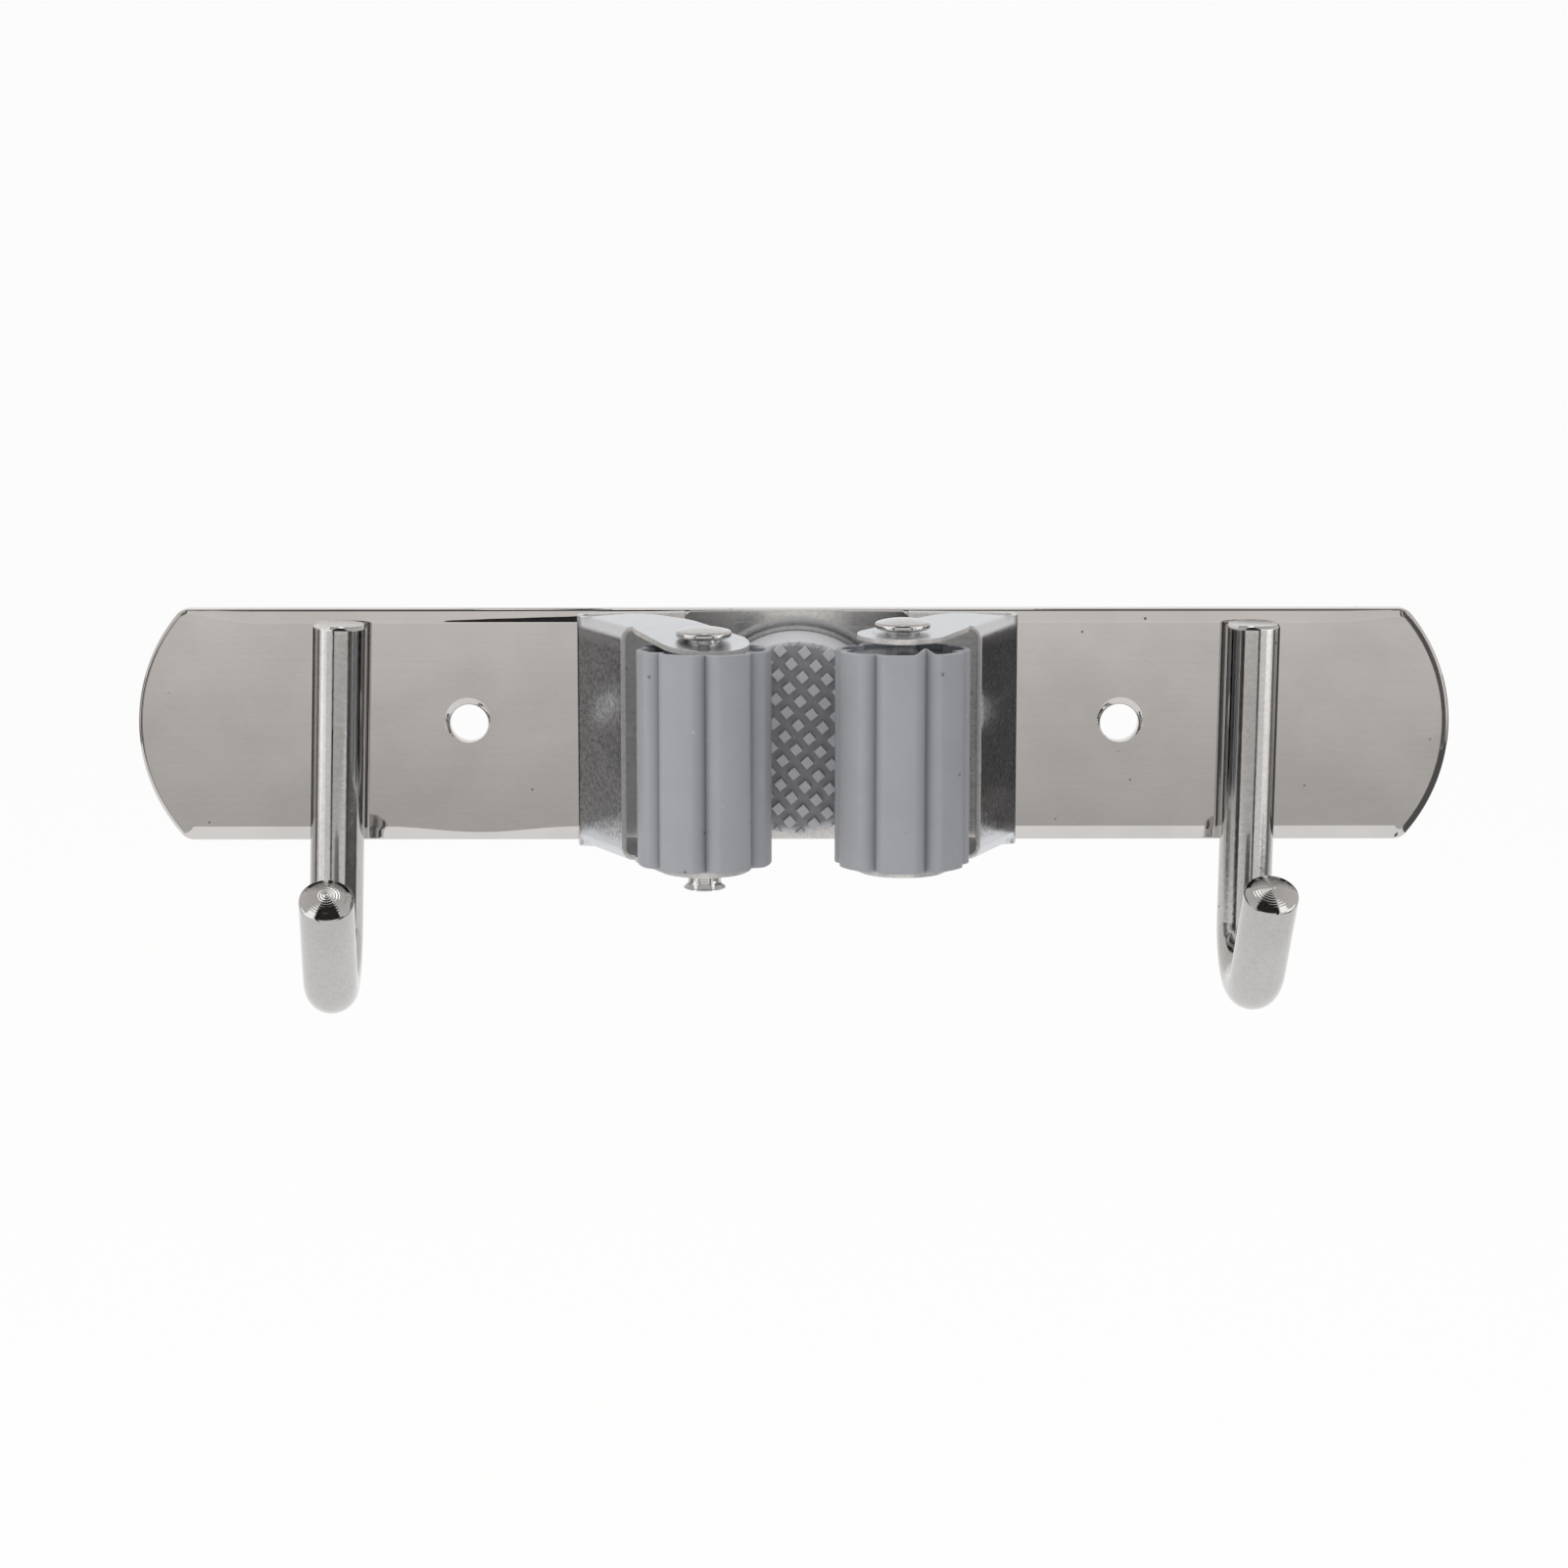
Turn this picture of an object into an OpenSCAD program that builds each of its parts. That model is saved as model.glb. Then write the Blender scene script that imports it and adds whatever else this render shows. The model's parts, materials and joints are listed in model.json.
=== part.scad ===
// Wall rack with two rod hooks and one sprung roller clip for a broom or mop handle.
// Frame, mm: Y = 0 is the wall, the viewer is towards -Y, +X is right, +Z is up.
// The origin is midway between the two screw holes, on the wall plane.
// The clip is one folded spring strip. It is drawn as a fixed middle and two arms,
// parted where each side of the strip flexes.

/* [Back plate] */
// overall width of the plate
plate_w = 250; // [240:1:270]
// overall height of the plate
plate_h = 44.6; // [44:0.2:50]
// height of the plate's middle over the line of the screws
plate_z = -0.25; // [-0.5:0.05:0.5]
// how far the pressed tray stands off the wall
plate_depth = 3; // [2.6:0.1:4]
// sheet thickness of the plate
plate_sheet = 1; // [0.8:0.1:1.2]
// outside radius of the rolled rim
plate_rim_r = 2.4; // [2:0.1:2.5]
// radius of the arc at each end
plate_end_r = 33; // [30:0.5:40]

/* [Screw holes] */
// distance between the two screw holes
screw_spacing = 124; // [116:1:130]
// bore of a screw hole
screw_d = 7.2; // [5:0.1:7.4]
// width of the flared mouth beyond the bore, each side
screw_flare = 0.8; // [0.6:0.1:1]
// how far the flare is struck above the bore's centre
screw_flare_rise = 0.4; // [0:0.05:0.5]
// wall of the collar that reaches back to the wall plane
screw_collar = 0.9; // [0.8:0.1:1.2]

/* [Hooks] */
// rod diameter
hook_d = 10.2; // [8:0.1:11]
// distance between the two rods at the height of the screws
hook_spacing = 172.6; // [166:0.2:180]
// height of the rod's top end above the screw line
hook_top = 20.2; // [16:0.2:21]
// lowest point of the left bend below the screw line
hook_left_drop = 52.6; // [48:0.2:58]
// lowest point of the right bend below the screw line
hook_right_drop = 52; // [48:0.2:58]
// centre-line radius of the bend
hook_bend_r = 10; // [8:0.25:13]
// how far the left tip leg leans forward from upright, degrees
hook_left_tip = 38.5; // [25:0.5:50]
// how far the right tip leg leans forward from upright, degrees
hook_right_tip = 34; // [25:0.5:50]
// straight length of the left tip leg
hook_left_l = 23.4; // [16:0.2:26]
// straight length of the right tip leg
hook_right_l = 21.4; // [16:0.2:26]
// radius of the dome on the tip
hook_dome_r = 8.5; // [6.5:0.1:12]
// lean of the left rod in the plane of the plate, degrees
hook_left_lean = 1.75; // [0:0.25:2.5]
// lean of the right rod in the plane of the plate, degrees
hook_right_lean = 0.75; // [0:0.25:2.5]
// turn of the left rod about its own length, degrees
hook_left_turn = 2; // [-5:0.5:5]
// turn of the right rod about its own length, degrees
hook_right_turn = 3; // [-5:0.5:5]
// bevel at the rod's top end
hook_bevel = 0.6; // [0.3:0.1:1]

/* [Bends] */
// how much rod or sheet thins where it is bent, each side
bend_thin = 0.03; // [0.02:0.005:0.05]
// how far a drawn bend runs on into the straight at each end, degrees
bend_lap = 2; // [1:0.5:3]

/* [Hook welds] */
// gap between rod and plate that the weld nuggets bridge
weld_gap = 0.3; // [0.2:0.05:0.5]
// diameter of a weld nugget
weld_d = 4; // [3:0.1:5]
// height of the upper nugget above the screw line
weld_top = 12; // [9:0.5:14]
// distance of the lower nugget below the screw line
weld_low = 13; // [9:0.5:15]

/* [Clip strip] */
// sideways offset of the clip on the plate
clip_x = 0.4; // [-1:0.1:1]
// height of the strip
clip_h = 44; // [43.6:0.2:46]
// thickness of the strip
clip_sheet = 1; // [0.8:0.05:1.1]
// gap between the strip and the plate beside the dish
clip_stand = 1; // [0.8:0.1:1.3]
// radius that the strip is bowed to, measured on its front
bow_r = 280; // [260:5:340]
// distance from the middle to each line where the strip flexes
flex_x = 22; // [21.6:0.1:23]
// clearance at the flex line
flex_gap = 0.06; // [0.03:0.01:0.1]
// distance from the middle to the centre of each fold
fold_x = 39; // [38:0.25:41]
// outside radius of the fold
fold_r = 2.5; // [2.2:0.1:3]

/* [Clip dish] */
// inside radius of the dish that takes the pad
dish_r = 19.3; // [19:0.1:19.6]
// width of the flared lip round the dish
dish_lip = 0.8; // [0.4:0.1:0.9]

/* [Clip arms] */
// how far each web leans inward from straight ahead, degrees
web_lean = 26.85; // [22:0.25:30]
// straight length of the web
web_l = 17.4; // [16:0.2:20]
// radius of the bend between web and ear, on the outside
ear_bend_r = 2.5; // [2:0.1:3]
// distance of the ear's rear end past the fold
ear_back = 2.2; // [1.8:0.1:3]
// distance of the pin in front of the fold, along the web
pin_u = 31.5; // [31:0.25:34]
// distance of the pin in from the web's outer face
pin_n = 9.9; // [9:0.1:10.5]
// radius of the ear's round end
ear_r = 8.4; // [7.6:0.1:8.4]
// how much the ear narrows towards the strip
ear_narrow = 3.1; // [2:0.1:4]
// distance from the ear's rear end to the place where it starts to narrow faster
ear_taper = 10.2; // [8:0.2:12]
// how much more the ear narrows from there to the corner
ear_slope = 1.7; // [1:0.1:2.2]
// size of the cut-off corner at the ear's rear
ear_corner = 3.4; // [2.5:0.1:3.8]
// length of the notch where the ear leaves the web
ear_notch = 2; // [1.5:0.1:3]
// step of the ear's outer edge at that notch
ear_step = 0.4; // [0.2:0.05:0.6]
// sag of the left upper ear beyond the web, degrees
ear_sag = 5.8; // [4:0.2:6.2]
// inward set of the left arm at rest, degrees
arm_left_set = 2; // [0:0.25:2.5]
// outward set of the right arm at rest, degrees
arm_right_set = 2; // [0:0.25:2.5]

/* [Roller pins] */
// shank diameter
pin_d = 6.1; // [5.5:0.1:6.5]
// clearance round the shank in the ears
pin_ear_clear = 0.12; // [0.1:0.02:0.2]
// head diameter
pin_head_d = 10.2; // [9.8:0.1:10.6]
// thickness of the head at its rim
pin_head_t = 1; // [0.8:0.1:1.2]
// height of the head's dome above the rim
pin_dome = 0.5; // [0.3:0.05:0.7]
// diameter of the collar under the head
pin_collar_d = 8; // [7.6:0.1:8.4]
// thickness of the collar
pin_collar_t = 0.6; // [0.5:0.1:0.8]
// lift of the left collar over the sagging ear
pin_left_lift = 0.55; // [0.5:0.05:0.8]
// lift of the right collar over its ear
pin_right_lift = 0.7; // [0.3:0.05:1]
// how far the left tail stands below its ear
pin_left_tail = 3.4; // [2.6:0.1:4]
// how far the right tail stands below its ear
pin_right_tail = 0.9; // [0.8:0.05:1.2]
// diameter of the flared tail
pin_flare_d = 7.8; // [7.4:0.1:8]
// height of the left flare
pin_left_flare = 1.3; // [1.1:0.1:1.5]
// gap between the right flare and its ear
pin_right_play = 0.15; // [0.1:0.05:0.2]
// bore of the hollow tail
pin_bore_d = 3.6; // [3:0.1:4]
// depth of the hollow in the tail
pin_bore_l = 4; // [3:0.2:6]
// width of each split between the petals of the tail
pin_split = 1.2; // [1:0.1:1.4]
// how far the splits run up past the flare
pin_split_over = 0.3; // [0.2:0.05:0.5]

/* [Rollers] */
// overall diameter
roller_d = 24.8; // [24:0.1:25.2]
// radius of each lobe
lobe_r = 5.4; // [5.2:0.1:6.2]
// gap between the roller and the lower ear
roller_rest = 0.5; // [0.4:0.05:0.8]
// gap between the roller and the level part of the upper ear
roller_top = 1.9; // [1.8:0.05:2.2]
// running clearance on the pin
roller_clear = 0.08; // [0.05:0.01:0.1]
// depth of the hollow in each end
roller_hollow = 1; // [0.9:0.05:1.2]
// width of the lip round each end
roller_lip = 1.2; // [1:0.1:1.3]
// turn of the left roller's lobes, degrees
roller_left_turn = 1; // [-25.5:0.5:25.5]
// turn of the right roller's lobes, degrees
roller_right_turn = 21.5; // [-25.5:0.5:25.5]

/* [Grip pad] */
// gap between the pad and the wall of the dish
pad_gap = 1.1; // [0.6:0.1:1.3]
// overall thickness from the dish floor to the top of the studs
pad_t = 15; // [13:0.25:15.5]
// height of the studs
stud_h = 1.5; // [1:0.1:2]
// side of each square stud
stud_w = 1.65; // [1.4:0.05:1.9]
// pitch of the studs
stud_pitch = 3.25; // [3:0.05:3.5]
// turn of the pad from the 45 degree setting, clockwise as seen
pad_turn = 5; // [0:0.5:8]
// diameter of the stem through the dish and plate
stem_d = 7; // [6:0.1:7.4]
// diameter of the bulb that holds the stem behind the plate
bulb_d = 10; // [9:0.1:10.5]
// clearance round the stem
stem_clear = 0.1; // [0.05:0.01:0.15]

/* [Clip rivets] */
// distance of each rivet from the middle of the dish
rivet_x = 11.5; // [11:0.25:12]
// shank diameter
rivet_d = 4; // [3.5:0.1:4.4]
// head diameter
rivet_head_d = 7.4; // [6.8:0.1:7.6]
// head height
rivet_head_h = 1.8; // [1.4:0.1:2]
// tail diameter
rivet_tail_d = 6.4; // [6:0.1:6.8]
// gap left between the wall and the fastenings behind the plate
back_clear = 0.6; // [0.4:0.05:0.8]
// clearance of the shank in its holes
rivet_clear = 0.05; // [0.02:0.01:0.1]
// room between a head and its pocket in the pad
pocket_gap = 0.4; // [0.3:0.05:0.6]

/* [Hidden] */
$fn = 96;
bow_fn = 720;
cut = 1;
plate_front = -plate_depth;
plate_back = plate_front + plate_sheet;
bore_r = screw_d / 2;
hook_r = hook_d / 2;
hook_axis = plate_front - weld_gap - hook_r;
weld_cut = 2 * (weld_top + weld_low);
dish_floor = plate_front - clip_sheet;
bow_front = plate_front - clip_stand - clip_sheet;
bow_c = bow_front - bow_r;
bow_mid_r = bow_r + clip_sheet / 2;
flex_a = asin(flex_x / bow_mid_r);
flex_y = bow_c + bow_mid_r * cos(flex_a);
fold_in = fold_r - clip_sheet;
fold_path = bow_r - fold_in;
fold_a = asin(fold_x / fold_path);
fold_y = bow_c + fold_path * cos(fold_a);
web_turn = 270 - web_lean;
ear_top = clip_h / 2;
ear_low = ear_top - clip_sheet;
roller_l = 2 * ear_low - roller_rest - roller_top;
pin_v = fold_r - pin_n;
ear_inner = pin_v - ear_r;
ear_outer = pin_v + ear_r;
ear_lap = clip_sheet / 2;
sag_at_pin = (pin_u - web_l) * tan(ear_sag);
lobe_path = roller_d / 2 - lobe_r;
lobes = 7;
core_r = lobe_path + lobe_r / 2;
roller_low = -ear_low + roller_rest;
pad_r = dish_r - pad_gap;
pad_front = dish_floor - pad_t;
field_y = pad_front + stud_h;
stud_count = ceil(pad_r / stud_pitch) + 1;
pin_z_left = ear_top - sag_at_pin + pin_left_lift;
pin_z_right = ear_top + pin_right_lift;
petals = 6;
tail_h = plate_depth - plate_sheet - back_clear;
stud_root = stud_h / 2;

// Things with a round axis are drawn along +Z and laid so that +Z points at the viewer.
module facing_out(y) {
    translate([0, y, 0]) rotate([90, 0, 0]) children();
}

// A profile in depth and height, drawn out along X.
module along_x(l) {
    rotate([90, 0, 90]) linear_extrude(height = l, center = true) children();
}

// Half of the section across the plate's rounded front edge: radius outward, depth forward.
module rim_profile(half, depth, r, back) {
    translate([0, -back]) square([half - r, depth + back]);
    translate([0, -back]) square([half, depth - r + back]);
    intersection() {
        translate([half - r, depth - r]) circle(r);
        translate([half - r, depth - r]) square(2 * r);
    }
}

// The plate's outside shape, drawn in by `inset` and reaching `back` past the wall plane.
module tray(inset, back) {
    half_w = plate_w / 2 - inset;
    half_t = plate_h / 2 - inset;
    depth = plate_depth - inset;
    rim = plate_rim_r - inset;
    end = plate_end_r - inset;
    intersection() {
        along_x(plate_w) {
            rotate(90) rim_profile(half_t, depth, rim, back);
            mirror([0, 1]) rotate(90) rim_profile(half_t, depth, rim, back);
        }
        union() {
            translate([-(half_w - end), -depth, -half_t])
                cube([2 * (half_w - end), depth + back, 2 * half_t]);
            for (s = [-1, 1])
                translate([s * (half_w - end), 0, 0])
                    facing_out(0) rotate_extrude() rim_profile(end, depth, rim, back);
        }
    }
}

// Everything at the two screw places.
module at_screws() {
    for (s = [-1, 1])
        translate([s * screw_spacing / 2, 0, 0]) children();
}

// Everything at the two rivet places.
module at_rivets() {
    for (s = [-1, 1])
        translate([clip_x + s * rivet_x, 0, 0]) children();
}

module back_plate() {
    color("silver")
    difference() {
        union() {
            translate([0, 0, plate_z]) difference() {
                tray(0, 0);
                tray(plate_sheet, cut);
            }
            at_screws() facing_out(0)
                cylinder(d = screw_d + 2 * screw_collar, h = plate_depth - plate_sheet / 2);
        }
        at_screws() {
            facing_out(cut) cylinder(d = screw_d, h = plate_depth + 2 * cut);
            translate([0, 0, screw_flare_rise]) facing_out(plate_back)
                cylinder(r1 = bore_r - screw_flare_rise, r2 = bore_r + screw_flare, h = plate_sheet);
        }
        translate([clip_x, 0, 0]) facing_out(plate_back + cut)
            cylinder(d = stem_d + 2 * stem_clear, h = plate_sheet + 2 * cut);
        at_rivets() facing_out(plate_back + cut)
            cylinder(d = rivet_d + 2 * rivet_clear, h = plate_sheet + 2 * cut);
    }
}

// One rod in its own frame: the rod stands on Z and the bend goes towards the viewer.
module rod(drop, tip, l) {
    bend_z = hook_r + hook_bend_r - drop;
    sweep = 180 - tip;
    translate([0, 0, bend_z]) cylinder(d = hook_d, h = hook_top - bend_z - hook_bevel);
    translate([0, 0, hook_top - hook_bevel])
        cylinder(d1 = hook_d, d2 = hook_d - 2 * hook_bevel, h = hook_bevel);
    translate([0, -hook_bend_r, bend_z]) {
        rotate([0, -90, 0]) rotate(90 - bend_lap)
            rotate_extrude(angle = sweep + 2 * bend_lap)
                translate([hook_bend_r, 0]) circle(hook_r - bend_thin);
        rotate([-sweep, 0, 0]) translate([0, hook_bend_r, 0]) mirror([0, 0, 1]) tip_leg(l);
    }
}

// The straight leg with its domed end, drawn up from the end of the bend.
module tip_leg(l) {
    shoulder = l - hook_dome_r + sqrt(pow(hook_dome_r, 2) - pow(hook_r, 2));
    rotate_extrude() {
        square([hook_r, shoulder]);
        intersection() {
            square([hook_r, l]);
            translate([0, l - hook_dome_r]) circle(hook_dome_r);
        }
    }
}

module place_rod(side, lean, turn) {
    translate([side * hook_spacing / 2, hook_axis, 0])
        rotate([0, lean, 0]) rotate([0, 0, turn]) children();
}

module hook_left() {
    color("gainsboro") place_rod(-1, hook_left_lean, hook_left_turn)
        rod(hook_left_drop, hook_left_tip, hook_left_l);
}

module hook_right() {
    color("gainsboro") place_rod(1, hook_right_lean, hook_right_turn)
        rod(hook_right_drop, hook_right_tip, hook_right_l);
}

// Nuggets that join one rod to the plate, hollowed to the rod's round.
module nuggets(side, lean) {
    difference() {
        for (z = [weld_top, -weld_low])
            translate([side * hook_spacing / 2 + z * tan(lean), 0, z])
                facing_out(plate_front) cylinder(d = weld_d, h = weld_gap + hook_r / 2);
        place_rod(side, lean, 0) cylinder(d = hook_d, h = weld_cut, center = true);
    }
}

module hook_welds() {
    color("gray") {
        nuggets(-1, hook_left_lean);
        nuggets(1, hook_right_lean);
    }
}

// Wedge about the bow's centre, between two angles from straight back.
module wedge(a, b) {
    reach = 2 * bow_r;
    translate([0, bow_c])
        polygon([[0, 0], [reach * sin(a), reach * cos(a)], [reach * sin(b), reach * cos(b)]]);
}

// Plan of the bowed strip between two angles.
module bow_plan(a, b) {
    intersection() {
        difference() {
            translate([0, bow_c]) circle(r = bow_r + clip_sheet, $fn = bow_fn);
            translate([0, bow_c]) circle(r = bow_r, $fn = bow_fn);
        }
        wedge(a, b);
    }
}

// Solid of the bowed strip's middle, with the dish drawn back to the plate.
module clip_base() {
    color("lightsteelblue") translate([clip_x, 0, 0]) difference() {
        union() {
            linear_extrude(height = clip_h, center = true) difference() {
                bow_plan(-flex_a, flex_a);
                for (s = [-1, 1])
                    translate([s * flex_x, flex_y]) circle(clip_sheet / 2 + flex_gap);
            }
            intersection() {
                facing_out(plate_front)
                    cylinder(r = dish_r + clip_sheet, h = clip_stand + 2 * clip_sheet);
                translate([0, bow_c, 0]) difference() {
                    cylinder(r = 2 * bow_r, h = clip_h, center = true, $fn = bow_fn);
                    cylinder(r = bow_r, h = 2 * clip_h, center = true, $fn = bow_fn);
                }
            }
        }
        facing_out(dish_floor) cylinder(r = dish_r, h = clip_stand + cut);
        facing_out(bow_front + dish_lip)
            cylinder(r1 = dish_r, r2 = dish_r + 2 * dish_lip, h = 2 * dish_lip);
        facing_out(plate_back + cut) cylinder(d = stem_d + 2 * stem_clear, h = plate_depth + 2 * cut);
        for (s = [-1, 1])
            translate([s * rivet_x, 0, 0]) facing_out(plate_back + cut)
                cylinder(d = rivet_d + 2 * rivet_clear, h = plate_depth + 2 * cut);
    }
}

// The web's frame: +X runs forward along the web, +Y is outward, from the fold's centre.
module web_frame() {
    translate([fold_x, fold_y, 0]) rotate(web_turn) children();
}

// Section of a sheet bent round the origin from angle a to angle b, lapped into the straights.
module bend_plan(r, a, b) {
    reach = 2 * r;
    mid = (a + b) / 2;
    ends = [a - bend_lap, mid, b + bend_lap];
    intersection() {
        difference() {
            circle(r - bend_thin);
            circle(r - clip_sheet + bend_thin);
        }
        polygon(concat([[0, 0]], [for (e = ends) reach * [cos(e), sin(e)]]));
    }
}

// One side of the strip from the flex line round the fold.
module wing() {
    linear_extrude(height = clip_h, center = true) bow_plan(flex_a, fold_a);
    linear_extrude(height = clip_h - 2 * bend_thin, center = true) {
        translate([flex_x, flex_y]) circle(clip_sheet / 2 - bend_thin);
        translate([fold_x, fold_y]) bend_plan(fold_r, -web_lean, 90 - fold_a);
    }
}

// Plan of an ear in the web's frame.
module ear_plan() {
    narrow = ear_inner + ear_narrow;
    polygon([[ear_back, 0], [web_l, 0], [web_l + ear_notch, ear_outer - ear_step],
        [pin_u, ear_outer], [pin_u, ear_inner],
        [ear_back + ear_taper, narrow],
        [ear_back + ear_corner, narrow + ear_slope],
        [ear_back, narrow + ear_slope + ear_corner]]);
    translate([pin_u, pin_v]) circle(ear_r);
}

// An upper ear: level as far as the web goes, then sagging by the given angle.
module ear(sag) {
    mid = ear_low + clip_sheet / 2;
    reach = 2 * pin_u;
    translate([0, 0, ear_low]) linear_extrude(height = clip_sheet) intersection() {
        ear_plan();
        translate([0, -pin_u]) square([web_l, reach]);
    }
    translate([web_l, 0, mid]) rotate([0, sag, 0]) translate([-web_l, 0, -clip_sheet / 2])
        linear_extrude(height = clip_sheet) intersection() {
            ear_plan();
            translate([web_l - ear_lap, -pin_u]) square(reach);
        }
}

// The bend from the web into an upper ear.
module ear_bend() {
    translate([ear_back, fold_r - ear_bend_r, ear_top - ear_bend_r]) rotate([90, 0, 90])
        linear_extrude(height = web_l - ear_back) bend_plan(ear_bend_r, 0, 90);
}

// One arm on the right-hand side, before its set.
module arm(sag) {
    web_half = ear_top - ear_bend_r;
    difference() {
        union() {
            wing();
            web_frame() {
                translate([0, fold_in, -web_half]) cube([web_l, clip_sheet, 2 * web_half]);
                translate([0, fold_in, -ear_top]) cube([ear_back, clip_sheet, clip_h]);
                ear_bend();
                mirror([0, 0, 1]) ear_bend();
                ear(sag);
                mirror([0, 0, 1]) ear(0);
            }
        }
        at_pin() cylinder(d = pin_d + 2 * pin_ear_clear, h = 2 * clip_h, center = true);
    }
}

module at_pin() {
    web_frame() translate([pin_u, pin_v, 0]) children();
}

// Turn about the right-hand flex line.
module turned(a) {
    translate([flex_x, flex_y, 0]) rotate(a) translate([-flex_x, -flex_y, 0]) children();
}

module on_right() {
    translate([clip_x, 0, 0]) turned(arm_right_set) children();
}

module on_left() {
    translate([clip_x, 0, 0]) mirror([1, 0, 0]) turned(-arm_left_set) children();
}

module clip_arm_left() {
    color("lightsteelblue") on_left() arm(ear_sag);
}

module clip_arm_right() {
    color("lightsteelblue") on_right() arm(0);
}

// Rivet pin with a hollow, petalled tail; z is the underside of its collar.
module pin(z, tail, flare) {
    foot = -ear_top - tail;
    head_z = z + pin_collar_t;
    rim = head_z + pin_head_t;
    pin_r = pin_d / 2;
    head_r = pin_head_d / 2;
    collar_r = pin_collar_d / 2;
    cap_r = (pow(head_r, 2) + pow(pin_dome, 2)) / (2 * pin_dome);
    difference() {
        rotate_extrude() {
            polygon([[0, foot], [pin_flare_d / 2, foot], [pin_r, foot + flare], [pin_r, z],
                [collar_r, z], [collar_r, head_z], [head_r, head_z], [head_r, rim], [0, rim]]);
            intersection() {
                translate([0, head_z]) square([head_r, pin_head_t + pin_dome]);
                translate([0, rim + pin_dome - cap_r]) circle(cap_r);
            }
        }
        translate([0, 0, foot - cut]) cylinder(d = pin_bore_d, h = pin_bore_l + cut);
        for (i = [0 : petals - 1])
            rotate(i * 360 / petals) translate([0, -pin_split / 2, foot - cut])
                cube([pin_flare_d, pin_split, flare + pin_split_over + cut]);
    }
}

module roller_pin_left() {
    color("whitesmoke") on_left() at_pin() pin(pin_z_left, pin_left_tail, pin_left_flare);
}

module roller_pin_right() {
    color("whitesmoke") on_right() at_pin()
        pin(pin_z_right, pin_right_tail, pin_right_tail - pin_right_play);
}

// Section of a roller, drawn in by `inset`.
module lobed(inset) {
    circle(core_r);
    for (i = [0 : lobes - 1])
        rotate(i * 360 / lobes) translate([lobe_path, 0]) circle(lobe_r - inset);
}

module roller(turn) {
    rotate(turn) difference() {
        translate([0, 0, roller_low]) linear_extrude(height = roller_l) lobed(0);
        translate([0, 0, roller_low + roller_l - roller_hollow])
            linear_extrude(height = roller_hollow + cut) lobed(roller_lip);
        translate([0, 0, roller_low - cut])
            linear_extrude(height = roller_hollow + cut) lobed(roller_lip);
        cylinder(d = pin_d + 2 * roller_clear, h = 2 * roller_l, center = true);
    }
}

module roller_left() {
    color("darkgray") on_left() at_pin() roller(roller_left_turn);
}

module roller_right() {
    color("darkgray") on_right() at_pin() roller(roller_right_turn);
}

// Square studs over the pad's round face.
module stud_plan() {
    intersection() {
        circle(pad_r);
        rotate(45 - pad_turn) for (i = [-stud_count : stud_count], j = [-stud_count : stud_count])
            translate([(i + 0.5) * stud_pitch, (j + 0.5) * stud_pitch]) square(stud_w, center = true);
    }
}

module grip_pad() {
    color("dimgray") translate([clip_x, 0, 0]) difference() {
        union() {
            facing_out(dish_floor) cylinder(r = pad_r, h = pad_t - stud_h);
            facing_out(field_y + stud_root) linear_extrude(height = stud_h + stud_root) stud_plan();
            facing_out(plate_back) cylinder(d = stem_d, h = plate_sheet + clip_sheet + cut);
            facing_out(plate_back + tail_h) cylinder(d1 = stem_d, d2 = bulb_d, h = tail_h);
        }
        for (s = [-1, 1])
            translate([s * rivet_x, 0, 0]) facing_out(dish_floor + cut)
                cylinder(d = rivet_head_d + 2 * pocket_gap, h = rivet_head_h + pocket_gap + cut);
    }
}

module clip_rivets() {
    cap_r = (pow(rivet_head_d / 2, 2) + pow(rivet_head_h, 2)) / (2 * rivet_head_h);
    color("whitesmoke") at_rivets() {
        facing_out(plate_back)
            cylinder(d = rivet_d, h = plate_sheet + clip_sheet + rivet_head_h / 2);
        facing_out(plate_back + tail_h) cylinder(d = rivet_tail_d, h = tail_h);
        facing_out(dish_floor) intersection() {
            translate([0, 0, rivet_head_h - cap_r]) sphere(cap_r);
            cylinder(d = rivet_head_d, h = rivet_head_h);
        }
    }
}

back_plate();
hook_left();
hook_right();
hook_welds();
clip_base();
clip_arm_left();
clip_arm_right();
clip_rivets();
grip_pad();
roller_pin_left();
roller_pin_right();
roller_left();
roller_right();
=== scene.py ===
"""Looks of a wall rack: polished steel plate and rod hooks, a sprung clip and two lobed rubber rollers."""
import json
from math import asin, cos, hypot, pi, radians, sin, sqrt, tan

import bmesh
import bpy
from mathutils import Matrix, Vector
from mathutils.geometry import delaunay_2d_cdt


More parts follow.
